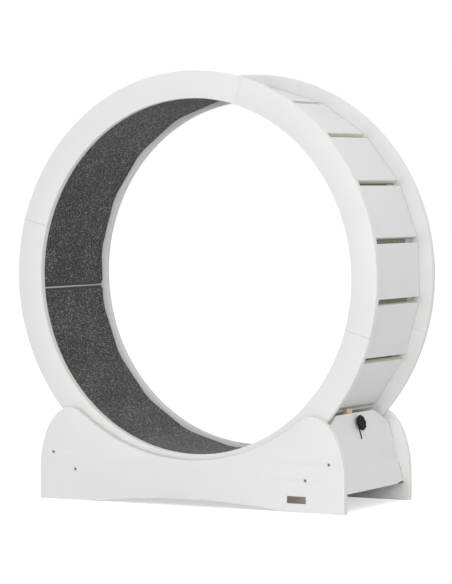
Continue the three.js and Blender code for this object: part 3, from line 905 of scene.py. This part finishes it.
def mat(start, end):
    """Half of the lining from one angle to another: soft pile, rounded edges and corners, and
    ends that are pressed thin."""
    shape = Shape()
    length = (end - start) * mat_back_r
    fine = [MAT_CORNER_R * (1 - cos(pi / 2 * k / 8)) for k in range(8)]
    row = 0.0035
    even = int((length - 2 * MAT_CORNER_R) / row)
    middle = [MAT_CORNER_R + (length - 2 * MAT_CORNER_R) * k / even for k in range(even + 1)]
    rows = fine + middle + [length - d for d in reversed(fine)]
    turns = [pi / 2 * k / 3 for k in range(4)]
    across, back_across = 84, 20
    face_scale = 1 - MAT_THICKNESS / mat_back_r
    last = None
    for s in rows:
        angle = start + s / mat_back_r
        from_end = min(s, length - s)
        ragged = MAT_RAGGED * noise.noise((s * 90, 0.5, start))
        half = MAT_WIDTH / 2 - fall(from_end, MAT_CORNER_R) - MAT_RAGGED + ragged
        back = lining_r(angle, mat_back_r, MAT_FLAT_HALF)
        face = lining_r(angle, mat_back_r * face_scale, MAT_FLAT_HALF * face_scale)
        pressed = 1 - eased((from_end - BINDING_WIDTH) / BINDING_RISE)
        face += fall(from_end, MAT_EDGE_R) + BINDING_SUNK * pressed
        section = []
        for k in range(across + 1):
            y = (half - MAT_EDGE_R) * (2 * k / across - 1)
            pile = noise.noise((s * 140, y * 170, start))
            pile += 0.6 * noise.noise((s * 45, y * 45, 7.3))
            section.append((y, face + PILE_HEIGHT * pile * (1 - 0.7 * pressed)))
        for a in turns[1:-1]:
            section.append((half - MAT_EDGE_R * (1 - sin(a)), face + MAT_EDGE_R * (1 - cos(a))))
        section.append((half, face + MAT_EDGE_R))
        for k in range(back_across + 1):
            section.append((half * (1 - 2 * k / back_across), back))
        section.append((-half, face + MAT_EDGE_R))
        for a in reversed(turns[1:-1]):
            section.append((-half + MAT_EDGE_R * (1 - sin(a)), face + MAT_EDGE_R * (1 - cos(a))))
        out = Vector((cos(angle), 0, sin(angle)))
        ring = shape.ring(out * r + Vector((0, y, 0)) for y, r in section)
        if last is None:
            first = ring
        else:
            looks = []
            for (y0, r0), (y1, r1) in zip(section, section[1:] + section[:1]):
                on_back = r0 == r1 == back
                looks.append((1 if abs(y0 + y1) / 2 < BACKING_HALF else 2) if on_back else 0)
            shape.wall(ring, last, looks)
        last = ring
    close_end(shape, first[::-1])
    close_end(shape, last)
    return shape


def close_end(shape, ring):
    """Closes one end of a mat with a fan about a point in the middle of its section."""
    middle = sum((shape.points[n] for n in ring), Vector()) / len(ring)
    centre = shape.ring([middle])
    shape.wall(centre, ring, 2)


def strips(start, end):
    """The fastening strips of one mat, one on each slat."""
    shape = Shape()
    first = round((start - first_seam) / slat_pitch)
    last = round((end - first_seam) / slat_pitch)
    top = slat_inner_r - TOUCH
    half_y = MAT_WIDTH / 2 - STRIP_SIDE_INSET
    for i in range(first, last + 1):
        slat_angle = first_seam + i * slat_pitch
        low = mat_back_r * tan(start - slat_angle) if i == first else -MAT_FLAT_HALF
        high = mat_back_r * tan(end - slat_angle) if i == last else MAT_FLAT_HALF
        room = STRIP_HALF + STRIP_INSET
        middle = min(max(0, low + room), high - room)
        low, high = middle - STRIP_HALF, middle + STRIP_HALF
        outline = rectangle(-half_y, low, half_y, high, STRIP_CORNER_R)
        turn = Matrix.Rotation(-slat_angle, 4, "Y") @ FACING_RIGHT
        shape.add(board(outline, mat_back_r, top, STRIP_EDGE_R, edges=0), turn)
    return shape


def seam_bar(angle):
    """A T-shaped bar on the slat under a seam: its foot lies between the fastening strips of
    the two mats, and its ridge stands in the gap between their ends."""
    slat_angle = first_seam + round((angle - first_seam) / slat_pitch) * slat_pitch
    middle = mat_back_r * tan(angle - slat_angle)
    half_y = MAT_WIDTH / 2 - SEAM_BAR_SIDE_INSET
    ridge = MAT_SEAM_GAP / 2 - 2 * TOUCH
    inner, back, outer = mat_back_r - SEAM_BAR_RISE, mat_back_r + TOUCH, slat_inner_r - TOUCH
    outline = softened([
        (middle - ridge, inner, SEAM_RIDGE_R),
        (middle + ridge, inner, SEAM_RIDGE_R),
        (middle + ridge, back, 0),
        (middle + SEAM_BAR_HALF, back, SEAM_BAR_EDGE_R),
        (middle + SEAM_BAR_HALF, outer, SEAM_BAR_EDGE_R),
        (middle - SEAM_BAR_HALF, outer, SEAM_BAR_EDGE_R),
        (middle - SEAM_BAR_HALF, back, SEAM_BAR_EDGE_R),
        (middle - ridge, back, 0),
    ])
    bar = board(outline, -half_y, half_y, SEAM_BAR_EDGE_R, edges=0)
    return Shape().add(bar, Matrix.Rotation(-slat_angle, 4, "Y") @ ALONG_Y)


def make_lining():
    on_axle = Matrix.Translation((0, 0, AXLE_Z))
    half_gap = MAT_SEAM_GAP / 2 / mat_back_r
    for name, seam in (("lower", MAT_SEAM_ANGLE), ("upper", MAT_SEAM_ANGLE - 180)):
        start = radians(seam) + half_gap
        end = start + pi - 2 * half_gap
        tape = piece(
            f"{name}_mat_fastening_strips", strips(start, end), (HOOKS,), "wheel",
            on_axle,
        )
        carpet = piece(
            f"{name}_mat", mat(start, end), (CARPET, BACKING, SELVEDGE), "wheel",
            on_axle, [f"{name}_carpet_mat"],
        )
        length = (end - start) * (mat_back_r - MAT_THICKNESS / 2)
        bar = seam_bar(radians(seam))
        piece(f"{name}_seam_bar", bar, (SEAM_NYLON,), "wheel", on_axle)


# ---------------------------------------------------------------- base boards

board_screw = on_end("right") @ Vector((-BOARD_THICKNESS / 2, 0, BOARD_SCREW_UP))
rail_screw = on_cradle("right") @ Vector((0, 0, -RAIL_FACE_R - RAIL_THICKNESS / 2))


def panel_outline():
    """Feet, shallow arch, round ears and the concave top that follows the wheel."""
    half, ear = panel_high.x, EAR_HEIGHT
    arch_r = (FOOT_ARCH_HALF**2 + FOOT_ARCH_RISE**2) / (2 * FOOT_ARCH_RISE)
    arch_end = math.acos(FOOT_ARCH_HALF / arch_r)
    drop = PANEL_ARC_Z - ear
    tip_r = (EAR_PEAK_X**2 + drop**2 - PANEL_ARC_R**2) / (2 * (PANEL_ARC_R - drop))
    tip_z = ear - tip_r
    meet = math.atan2(PANEL_ARC_Z - tip_z, -EAR_PEAK_X)
    foot_r = 0.002
    ear_half, ear_rise = half - EAR_PEAK_X, ear - EAR_SHOULDER_Z
    right = arc(0, FOOT_ARCH_RISE - arch_r, arch_r, arch_r, pi / 2, arch_end, 24)
    right += arc(half - foot_r, foot_r, foot_r, foot_r, -pi / 2, 0, 4)
    right += arc(EAR_PEAK_X, EAR_SHOULDER_Z, ear_half, ear_rise, 0, pi / 2, 40)
    right += arc(EAR_PEAK_X, tip_z, tip_r, tip_r, pi / 2, meet, 20)[1:]
    right += arc(0, PANEL_ARC_Z, PANEL_ARC_R, PANEL_ARC_R, meet - pi, -pi / 2, 48)[1:]
    left = [Vector((-p.x, p.y)) for p in reversed(right[1:-1])]
    return right + left


def make_side_panels():
    thickness = panel_high.y - panel_low.y
    seat_depth = SCREW_SUNK + SCREW_HEAD_HEIGHT + SCREW_HEAD_R - SCREW_R + TOUCH
    top = panel_high.y
    seats = []
    for spot in (board_screw, rail_screw):
        for x in (-spot.x, spot.x):
            bore = circle(x, spot.z, SCREW_HEAD_R + TOUCH, 40)[::-1]
            narrow = SCREW_HEAD_R - SCREW_R
            levels = [(-BORE_CHAMFER, top), (0, top - BORE_CHAMFER), (0, top - seat_depth)]
            levels += [(narrow, top - seat_depth), (narrow, top - thickness)]
            seats.append((bore, levels))
    for side, towards in (("front", -1), ("back", 1)):
        shape = board(panel_outline(), top - thickness, top, PANEL_EDGE_R, seats, steps=4)
        piece(
            f"{side}_panel_board", shape, (WHITE, BAND), "base",
            upright(towards), [f"{side}_side_panel"],
        )


def make_plate():
    """The blank plate on the front panel, with a raised border."""
    def inset_by(inset):
        x, z = (size / 2 - inset for size in PLATE_SIZE)
        return rectangle(-x, -z, x, z, max(PLATE_CORNER_R - inset, PLATE_LEAST_R))

    field_top = PLATE_PROUD - PLATE_FIELD_SUNK
    field = board(inset_by(PLATE_FIELD_INSET), 0, field_top, PLATE_FIELD_EDGE_R, edges=0)
    opening = (inset_by(PLATE_BORDER)[::-1], [(0, PLATE_PROUD), (0, 0)])
    border = board(inset_by(0), 0, PLATE_PROUD, PLATE_BORDER_EDGE_R, [opening])
    border.looks = [1] * len(border.looks)
    place = Matrix.Translation((PLATE_MIDDLE[0], -panel_high.y, PLATE_MIDDLE[1])) @ upright()
    piece("blank_plate", field.add(border), (PLATE, TRIM), "base", place)


def end_board(with_slot):
    """A board with banded edges. Its ends are a touch fuller halfway up, so that the joint with
    each panel opens towards the top and the bottom, and its bottom band stops short of one end."""
    end = board_end_y - SHADOW_GAP
    clip = BOARD_HEIGHT - BOARD_CLIP_DROP
    full_from, full_to = (clip * share for share in BOARD_FULL)
    lower_r, upper_r = BOARD_CLIP_R
    outline = softened([
        (-end, 0, 0),
        (end - BARE_END, 0, 0),
        (end, 0, 0),
        (board_end_y, full_from, 0),
        (board_end_y, full_to, 0),
        (end, clip, lower_r),
        (BOARD_CLIP_Y, BOARD_HEIGHT, upper_r),
        (-BOARD_CLIP_Y, BOARD_HEIGHT, upper_r),
        (-end, clip, lower_r),
        (-board_end_y, full_to, 0),
        (-board_end_y, full_from, 0),
    ])
    # The fourth look, chipboard darkened as painted shade, goes on the bare stretch of the bottom
    # edge and, as bore, on the brake slot's walls and the sunk marks.
    edges = [1, 3] + [1] * (len(outline) - 2)
    holes = []
    if with_slot:
        upper = arc(0, BOLT_UP, BRAKE_SLOT_R, BRAKE_SLOT_R, 0, pi, 12)
        low = BOLT_UP - BRAKE_TRAVEL
        slot = upper + arc(0, low, BRAKE_SLOT_R, BRAKE_SLOT_R, pi, 2 * pi, 12)
        levels = [(-BORE_CHAMFER, 0), (0, -BORE_CHAMFER), (0, -BOARD_THICKNESS)]
        holes.append((slot[::-1], levels))
    for chip, depth in chips(end - CHIP_INSET):
        holes.append((chip[::-1], [(0, 0), (0, -depth)]))
    return board(outline, -BOARD_THICKNESS, 0, END_BOARD_EDGE_R, holes, edges, bore=3)


def chips(edge):
    """Chip-shaped marks sunk into the white face at a board's end, which hold painted shade, and
    how deep: two thin lines along the joint, a pit at each corner and a wedge along the bare
    stretch of the bottom edge."""
    for low, high in CHIP_LINES:
        line = [
            Vector((edge - CHIP_WIDTH * 0.4, low)),
            Vector((edge, low + CHIP_TIP[0])),
            Vector((edge, high)),
            Vector((edge - CHIP_WIDTH, high)),
            Vector((edge - CHIP_WIDTH, low + CHIP_TIP[1])),
        ]
        yield line, CHIP_DEPTH
    for inward, up in PITS:
        yield circle(edge - inward, up, PIT_R, 12), PIT_DEPTH
    yield [Vector((edge - inward, up)) for inward, up in CHIP_WEDGE], CHIP_DEPTH


def make_end_boards():
    looks = (WHITE, BAND, RAW, PAINTED_SHADE_CHIPBOARD)
    for hand in ("right", "left"):
        piece(
            f"{hand}_end_panel", end_board(hand == "right"), looks, "base",
            on_end(hand) @ FACING_RIGHT, [f"{hand}_end_board"],
        )


def assembly_screw():
    """A sunk screw with a hexagon socket, its head up and the panel's face at w 0."""
    head = -SCREW_SUNK
    neck = head - SCREW_HEAD_HEIGHT
    chamfer = SCREW_SOCKET_CHAMFER
    levels = [(-chamfer, head), (0, head - chamfer), (0, head - SCREW_SOCKET_DEPTH)]
    # The socket's walls and floor take the second look, steel darkened as painted shade.
    socket = (circle(0, 0, SCREW_SOCKET_R, 6)[::-1], levels)
    rim = circle(0, 0, SCREW_HEAD_R, 48)
    shape = board(rim, neck, head, SCREW_HEAD_EDGE_R, [socket], edges=0)
    tip = head - SCREW_LENGTH
    shank = [(0, tip), (SCREW_R / 2, tip), (SCREW_R, tip + SCREW_R)]
    for k in range(THREAD_TURNS):
        w = tip + SCREW_R + SCREW_LENGTH * THREADED_SHARE * k / THREAD_TURNS
        shank.append((SCREW_R, w + THREAD_CREST_TO))
        shank.append((SCREW_R * THREAD_ROOT_SHARE, w + THREAD_ROOT_AT))
    shank += [(SCREW_R, neck - SCREW_PLAIN), (SCREW_R, neck - SCREW_HEAD_R + SCREW_R)]
    shank += [(SCREW_HEAD_R - SCREW_HEAD_EDGE_R, neck), (0, neck)]
    return shape.add(lathe(shank, 24))


def make_assembly_screws():
    shape = assembly_screw()
    for side, towards in (("front", -1), ("back", 1)):
        for hand, sign in (("left", -1), ("right", 1)):
            for target, spot in (("board", board_screw), ("rail", rail_screw)):
                at = Matrix.Translation((sign * spot.x, towards * panel_high.y, spot.z))
                piece(
                    f"{side}_{hand}_screw_into_{target}", shape, (STEEL, SHADED_SOCKET_STEEL), "base",
                    at @ upright(towards), [f"{side}_{hand}_{target}_screw"],
                )


# ---------------------------------------------------------------- rollers


def fork():
    """A bracket of folded steel with a riveted axle, for the roller on the +Y side."""
    foot_w = -RAIL_FACE_R + TOUCH
    middle_y = (FORK_FROM_Y + FORK_TO_Y) / 2
    holes = []
    for x in (-FORK_HOLES[0], FORK_HOLES[0]):
        for y in (middle_y - FORK_HOLES[1], middle_y + FORK_HOLES[1]):
            levels = [(0, foot_w + FORK_STEEL), (0, foot_w)]
            holes.append((circle(x, y, FORK_HOLE_R, 20)[::-1], levels))
    foot = rectangle(-FORK_FOOT_HALF, FORK_FROM_Y, FORK_FOOT_HALF, FORK_TO_Y, FORK_CORNER_R)
    shape = board(foot, foot_w, foot_w + FORK_STEEL, STEEL_EDGE_R, holes, edges=0, bore=0)
    shoulder_w = foot_w + FORK_SHOULDER
    leg = [Vector((-FORK_LEG_HALF, foot_w)), Vector((FORK_LEG_HALF, foot_w))]
    leg += [Vector((FORK_LEG_HALF, shoulder_w))]
    leg += arc(0, -ROLLER_AXLE_R, FORK_EYE_R, FORK_EYE_R, *FORK_EYE_ARC, 24)
    leg += [Vector((-FORK_LEG_HALF, shoulder_w))]
    for y in (FORK_FROM_Y, FORK_TO_Y - FORK_STEEL):
        shape.add(board(leg, -y - FORK_STEEL, -y, STEEL_EDGE_R, edges=0), upright())
    head, edge = PIN_HEAD_R, PIN_HEAD_EDGE
    low, high = FORK_FROM_Y, FORK_TO_Y
    pin = [(0, low - PIN_HEAD_HEIGHT), (head * 0.7, low - PIN_HEAD_HEIGHT)]
    pin += [(head - edge * 0.3, low - 2 * edge), (head, low - edge), (head, low + edge)]
    pin += [(PIN_R, low + edge), (PIN_R, high - edge), (head, high - edge), (head, high + edge)]
    pin += [(head - edge * 0.3, high + 2 * edge), (head * 0.7, high + PIN_HEAD_HEIGHT)]
    pin += [(0, high + PIN_HEAD_HEIGHT)]
    return shape.add(lathe(pin, 40), on_roller())


def on_roller():
    """From a lathe shape about w to the roller's axle on the +Y side."""
    return Matrix.Translation((0, 0, -ROLLER_AXLE_R)) @ upright(1)


def hub():
    """A hub with a guide flange on its inner side and a ring groove in its outer face."""
    bore, edge = PIN_R + TOUCH, HUB_EDGE
    flange_y = HUB_FROM_Y + FLANGE_THICKNESS
    groove_in, groove_out = HUB_GROOVE_R
    floor = HUB_TO_Y - HUB_GROOVE_DEPTH
    profile = [
        (bore, HUB_FROM_Y),
        (FLANGE_R - edge, HUB_FROM_Y),
        (FLANGE_R, HUB_FROM_Y + edge),
        (FLANGE_R, flange_y - edge),
        (FLANGE_R - edge, flange_y),
        (HUB_R, flange_y),
        (HUB_R, HUB_TO_Y - edge / 2),
        (HUB_R - edge / 2, HUB_TO_Y),
        (groove_out, HUB_TO_Y),
        (groove_out - edge / 2, floor + edge),
        (groove_out - 2 * edge, floor),
        (groove_in + 2 * edge, floor),
        (groove_in + edge / 2, floor + edge),
        (groove_in, HUB_TO_Y),
        (bore, HUB_TO_Y),
    ]
    return lathe(profile, 96)


def tyre():
    """A tyre with a slightly crowned tread and rounded shoulders."""
    inner, r = HUB_R + TOUCH, TYRE_SHOULDER_R
    shoulder_r = TYRE_R - r - TYRE_CROWN
    profile = [(inner, TYRE_FROM_Y)]
    profile += [tuple(p) for p in arc(shoulder_r, TYRE_FROM_Y + r, r, r, -pi / 2, 0, 5)]
    profile += [(TYRE_R, (TYRE_FROM_Y + TYRE_TO_Y) / 2)]
    profile += [tuple(p) for p in arc(shoulder_r, TYRE_TO_Y - r, r, r, 0, pi / 2, 5)]
    profile += [(inner, TYRE_TO_Y)]
    return lathe(profile, 96)


def pan_screw():
    """A pan-head screw with a cross recess, standing on w 0."""
    arm, reach = CROSS_HALF, CROSS_REACH
    cross = []
    for k in range(4):
        turn = Matrix.Rotation(k * pi / 2, 2)
        cross += [turn @ Vector(p) for p in ((reach, -arm), (reach, arm), (arm, arm))]
    recess = (cross[::-1], [(0, PAN_HEIGHT), (-CROSS_TAPER, CROSS_FLOOR)])
    head = circle(0, 0, PAN_R, 32)
    return board(head, 0, PAN_HEIGHT, PAN_ROUNDING, [recess], edges=0, bore=0, steps=5)


def rail():
    """A rail straight below the axle, with banded long edges and raw ends."""
    outline = rectangle(-RAIL_WIDTH / 2, -board_end_y, RAIL_WIDTH / 2, board_end_y)
    return board(outline, -RAIL_FACE_R - RAIL_THICKNESS, -RAIL_FACE_R, edges=[2, 1, 2, 1])


def make_rollers():
    foot_top = -RAIL_FACE_R + TOUCH + FORK_STEEL
    middle_y = (FORK_FROM_Y + FORK_TO_Y) / 2
    rail_shape, fork_shape, screw_shape = rail(), fork(), pan_screw()
    hub_shape, tyre_shape = hub(), tyre()
    for hand in ("right", "left"):
        place = on_cradle(hand)
        piece(
            f"{hand}_rail_board", rail_shape, (WHITE, BAND, RAW), "base",
            place, [f"{hand}_roller_rail"],
        )
        for end in ("front", "back"):
            roller = f"{hand}_{end}_roller"
            turned = place if (end == "back") == (hand == "right") else place @ HALF_TURN
            piece(
                f"{hand}_{end}_bracket", fork_shape, (STEEL,), "base",
                turned, [f"{hand}_{end}_fork"],
            )
            piece(
                f"{roller}_hub", hub_shape, (NYLON,), roller,
                turned @ on_roller(), [f"{hand}_{end}_hub"],
            )
            piece(
                f"{roller}_tyre", tyre_shape, (RUBBER,), roller,
                turned @ on_roller(), [f"{hand}_{end}_tyre"],
            )
            four = Shape()
            for k, x in enumerate((-FORK_HOLES[0], FORK_HOLES[0])):
                for y in (middle_y - FORK_HOLES[1], middle_y + FORK_HOLES[1]):
                    spin = Matrix.Rotation(0.4 + k + 60 * y, 4, "Z")
                    four.add(screw_shape, Matrix.Translation((x, y, foot_top)) @ spin)
            piece(f"{hand}_{end}_bracket_screws", four, (STEEL,), "base", turned)


# ---------------------------------------------------------------- brake


def brake_block():
    """A block on the end board's inner face, with its top cut to the path of the slats."""
    face = -BOARD_THICKNESS - TOUCH
    back = face - BLOCK_THICKNESS
    bottom = BOLT_UP - BLOCK_BELOW
    axle = on_end("right").inverted() @ Vector((0, 0, AXLE_Z))
    path_r = slat_corner_r + BRAKE_CLEARANCE
    start, end = (-math.acos((x - axle.x) / path_r) for x in (face, back))
    outline = [Vector((back, bottom)), Vector((face, bottom))]
    outline += arc(axle.x, axle.z, path_r, path_r, start, end, 8)
    return board(outline, -BLOCK_HALF, BLOCK_HALF, BLOCK_EDGE_R, edges=0, steps=4)


def bolt():
    """A bolt with a domed head behind the block, through the slot to the knob."""
    seat = -BOARD_THICKNESS - 2 * TOUCH - BLOCK_THICKNESS
    tip = 2 * TOUCH + WASHER_THICKNESS + BOLT_BEYOND
    head = arc(0, seat - BOLT_HEAD_EDGE, BOLT_HEAD_R, BOLT_DOME, -pi / 2, 0, 8)
    profile = [(0, head[0].y), *(tuple(p) for p in head[1:])]
    profile += [(BOLT_HEAD_R, seat), (BOLT_R, seat), (BOLT_R, tip - BOLT_CHAMFER)]
    profile += [(BOLT_R - BOLT_CHAMFER, tip), (0, tip)]
    return lathe(profile, 48)


def washer():
    low, high, edge = TOUCH, TOUCH + WASHER_THICKNESS, WASHER_EDGE
    profile = [
        (BOLT_R + TOUCH, low),
        (WASHER_R - edge, low),
        (WASHER_R, low + edge),
        (WASHER_R, high - edge),
        (WASHER_R - edge, high),
        (BOLT_R + TOUCH, high),
    ]
    return lathe(profile)


def knob():
    """A lobed grip on a round boss, with a shallow dish and a cap ring in its face."""
    back = 2 * TOUCH + WASHER_THICKNESS
    grip = back + KNOB_BOSS_HEIGHT
    front = grip + KNOB_GRIP_HEIGHT
    bore, deep = BOLT_R + TOUCH, back + KNOB_BORE_DEPTH
    dip, edge, r = KNOB_LOBE_DEPTH, KNOB_BOSS_EDGE, KNOB_GRIP_EDGE_R
    inward, share = KNOB_UNDERCUT
    profile = [(0, deep, 0), (bore, deep, 0), (bore, back, 0), (KNOB_BOSS_R - edge, back, 0)]
    profile += [(KNOB_BOSS_R, back + edge, 0), (KNOB_BOSS_R, grip - KNOB_BOSS_FILLET, 0)]
    profile += [(KNOB_BOSS_R + edge, grip, 0), (KNOB_R - inward, grip, dip * share)]
    for low, high, w in ((-pi / 2, 0, grip + r), (0, pi / 2, front - r)):
        for p in arc(KNOB_R - r, w, r, r, low, high, 6):
            profile.append((*p, dip))
    profile += [(radius, front - sunk, dip * share) for radius, sunk, share in KNOB_FACE]
    return lathe(profile, 128, lobes=KNOB_LOBES)


def make_brake():
    place = on_end("right")
    on_bolt = place @ Matrix.Translation((0, 0, BOLT_UP)) @ FACING_RIGHT
    piece(
        "wooden_brake_block", brake_block(), (WOOD,), "brake",
        place @ upright(), ["brake_block"],
    )
    piece("coach_bolt", bolt(), (STEEL,), "brake", on_bolt, ["brake_bolt"])
    piece("knob_washer", washer(), (STEEL,), "brake", on_bolt, ["brake_washer"])
    piece("clamping_knob", knob(), (PLASTIC,), "knob", on_bolt, ["brake_knob"])


# ---------------------------------------------------------------- stage

CAMERA_SPOT = (3.5806, -6.4383, 0.8145)
CAMERA_YAW = radians(29.04)
CAMERA_PITCH = radians(-2.097)
CAMERA_ROLL = radians(-0.287)
CAMERA_LENS = 172.92  # millimetres, on a sensor 36 mm along the picture's long side

AMBIENT = 0.50
FLOOR_FILL = (0.56, 0.62)  # what the camera sees on top of the light, near and far
FLOOR_NEAR, FLOOR_FAR = 0.8, 3.5
FLOOR_HALF = 40
LAMPS = (  # name, spot, size and power in watts
    ("low front lamp", (0.3, -9.5, 0.9), 2.2, 139),
    ("right front lamp", (5.0, -9.0, 2.4), 4.0, 277),
    ("right lamp", (8.5, -2.5, 2.8), 4.5, 46),
    ("top lamp", (0.8, 0.2, 5.5), 4.5, 76),
    ("left back lamp", (-7.0, 7.0, 3.0), 4.5, 150),
)


def make_camera():
    data = bpy.data.cameras.new("camera")
    data.lens = CAMERA_LENS
    data.sensor_width = 36
    data.clip_end = 100
    camera = bpy.data.objects.new("camera", data)
    level = Matrix.Rotation(CAMERA_YAW, 4, "Z") @ Matrix.Rotation(pi / 2 + CAMERA_PITCH, 4, "X")
    aim = level @ Matrix.Rotation(CAMERA_ROLL, 4, "Z")
    camera.matrix_world = Matrix.Translation(CAMERA_SPOT) @ aim
    bpy.context.scene.collection.objects.link(camera)
    bpy.context.scene.camera = camera


def make_world():
    """Even light all round, which the camera and mirror-like surfaces see as white."""
    world = bpy.data.worlds.new("studio")
    world.use_nodes = True
    bpy.context.scene.world = world
    nodes = Nodes(world.node_tree)
    camera, glossy, transmission = (
        nodes.node("LightPath", output=f"Is {kind} Ray")
        for kind in ("Camera", "Glossy", "Transmission")
    )
    seen = nodes.math("MINIMUM", camera + glossy + transmission, 1)
    background = world.node_tree.nodes["Background"]
    background.inputs["Color"].default_value = (1, 1, 1, 1)
    nodes.feed(background.inputs["Strength"], AMBIENT + (1 - AMBIENT) * seen)


def make_floor():
    """A pale floor that reads as white and keeps the object's soft shadow."""
    mesh = bpy.data.meshes.new("floor")
    corners = rectangle(-FLOOR_HALF, -FLOOR_HALF, FLOOR_HALF, FLOOR_HALF)
    mesh.from_pydata([(*corner, 0) for corner in corners], [], [(0, 1, 2, 3)])
    look = Look("pale floor", {"Roughness": 0.9, "Specular IOR Level": 0.1})
    seen = look.node("LightPath", output="Is Camera Ray")
    away = look.node("VectorMath", {"operation": "LENGTH"}, {0: look.place()}, "Value")
    fill = look.between(away, FLOOR_NEAR, FLOOR_FAR, *FLOOR_FILL)
    look.shows(base_color=grey(235), emission_color=seen * fill, emission_strength=1)
    mesh.materials.append(look.material)
    floor = bpy.data.objects.new("floor", mesh)
    bpy.context.scene.collection.objects.link(floor)


def make_lamp(name, spot, size, power):
    data = bpy.data.lights.new(name, "AREA")
    data.shape = "SQUARE"
    data.size = size
    data.energy = power
    lamp = bpy.data.objects.new(name, data)
    lamp.location = spot
    aim = Vector((0, 0, AXLE_Z)) - Vector(spot)
    lamp.rotation_euler = aim.to_track_quat("-Z", "Y").to_euler()
    bpy.context.scene.collection.objects.link(lamp)


def make_stage():
    make_camera()
    make_world()
    make_floor()
    for lamp in LAMPS:
        make_lamp(*lamp)
    bpy.context.scene.view_settings.view_transform = "Standard"


# ---------------------------------------------------------------- the object

make_stage()
make_rims()
make_slats()
make_lining()
make_side_panels()
make_plate()
make_end_boards()
make_assembly_screws()
make_rollers()
make_brake()
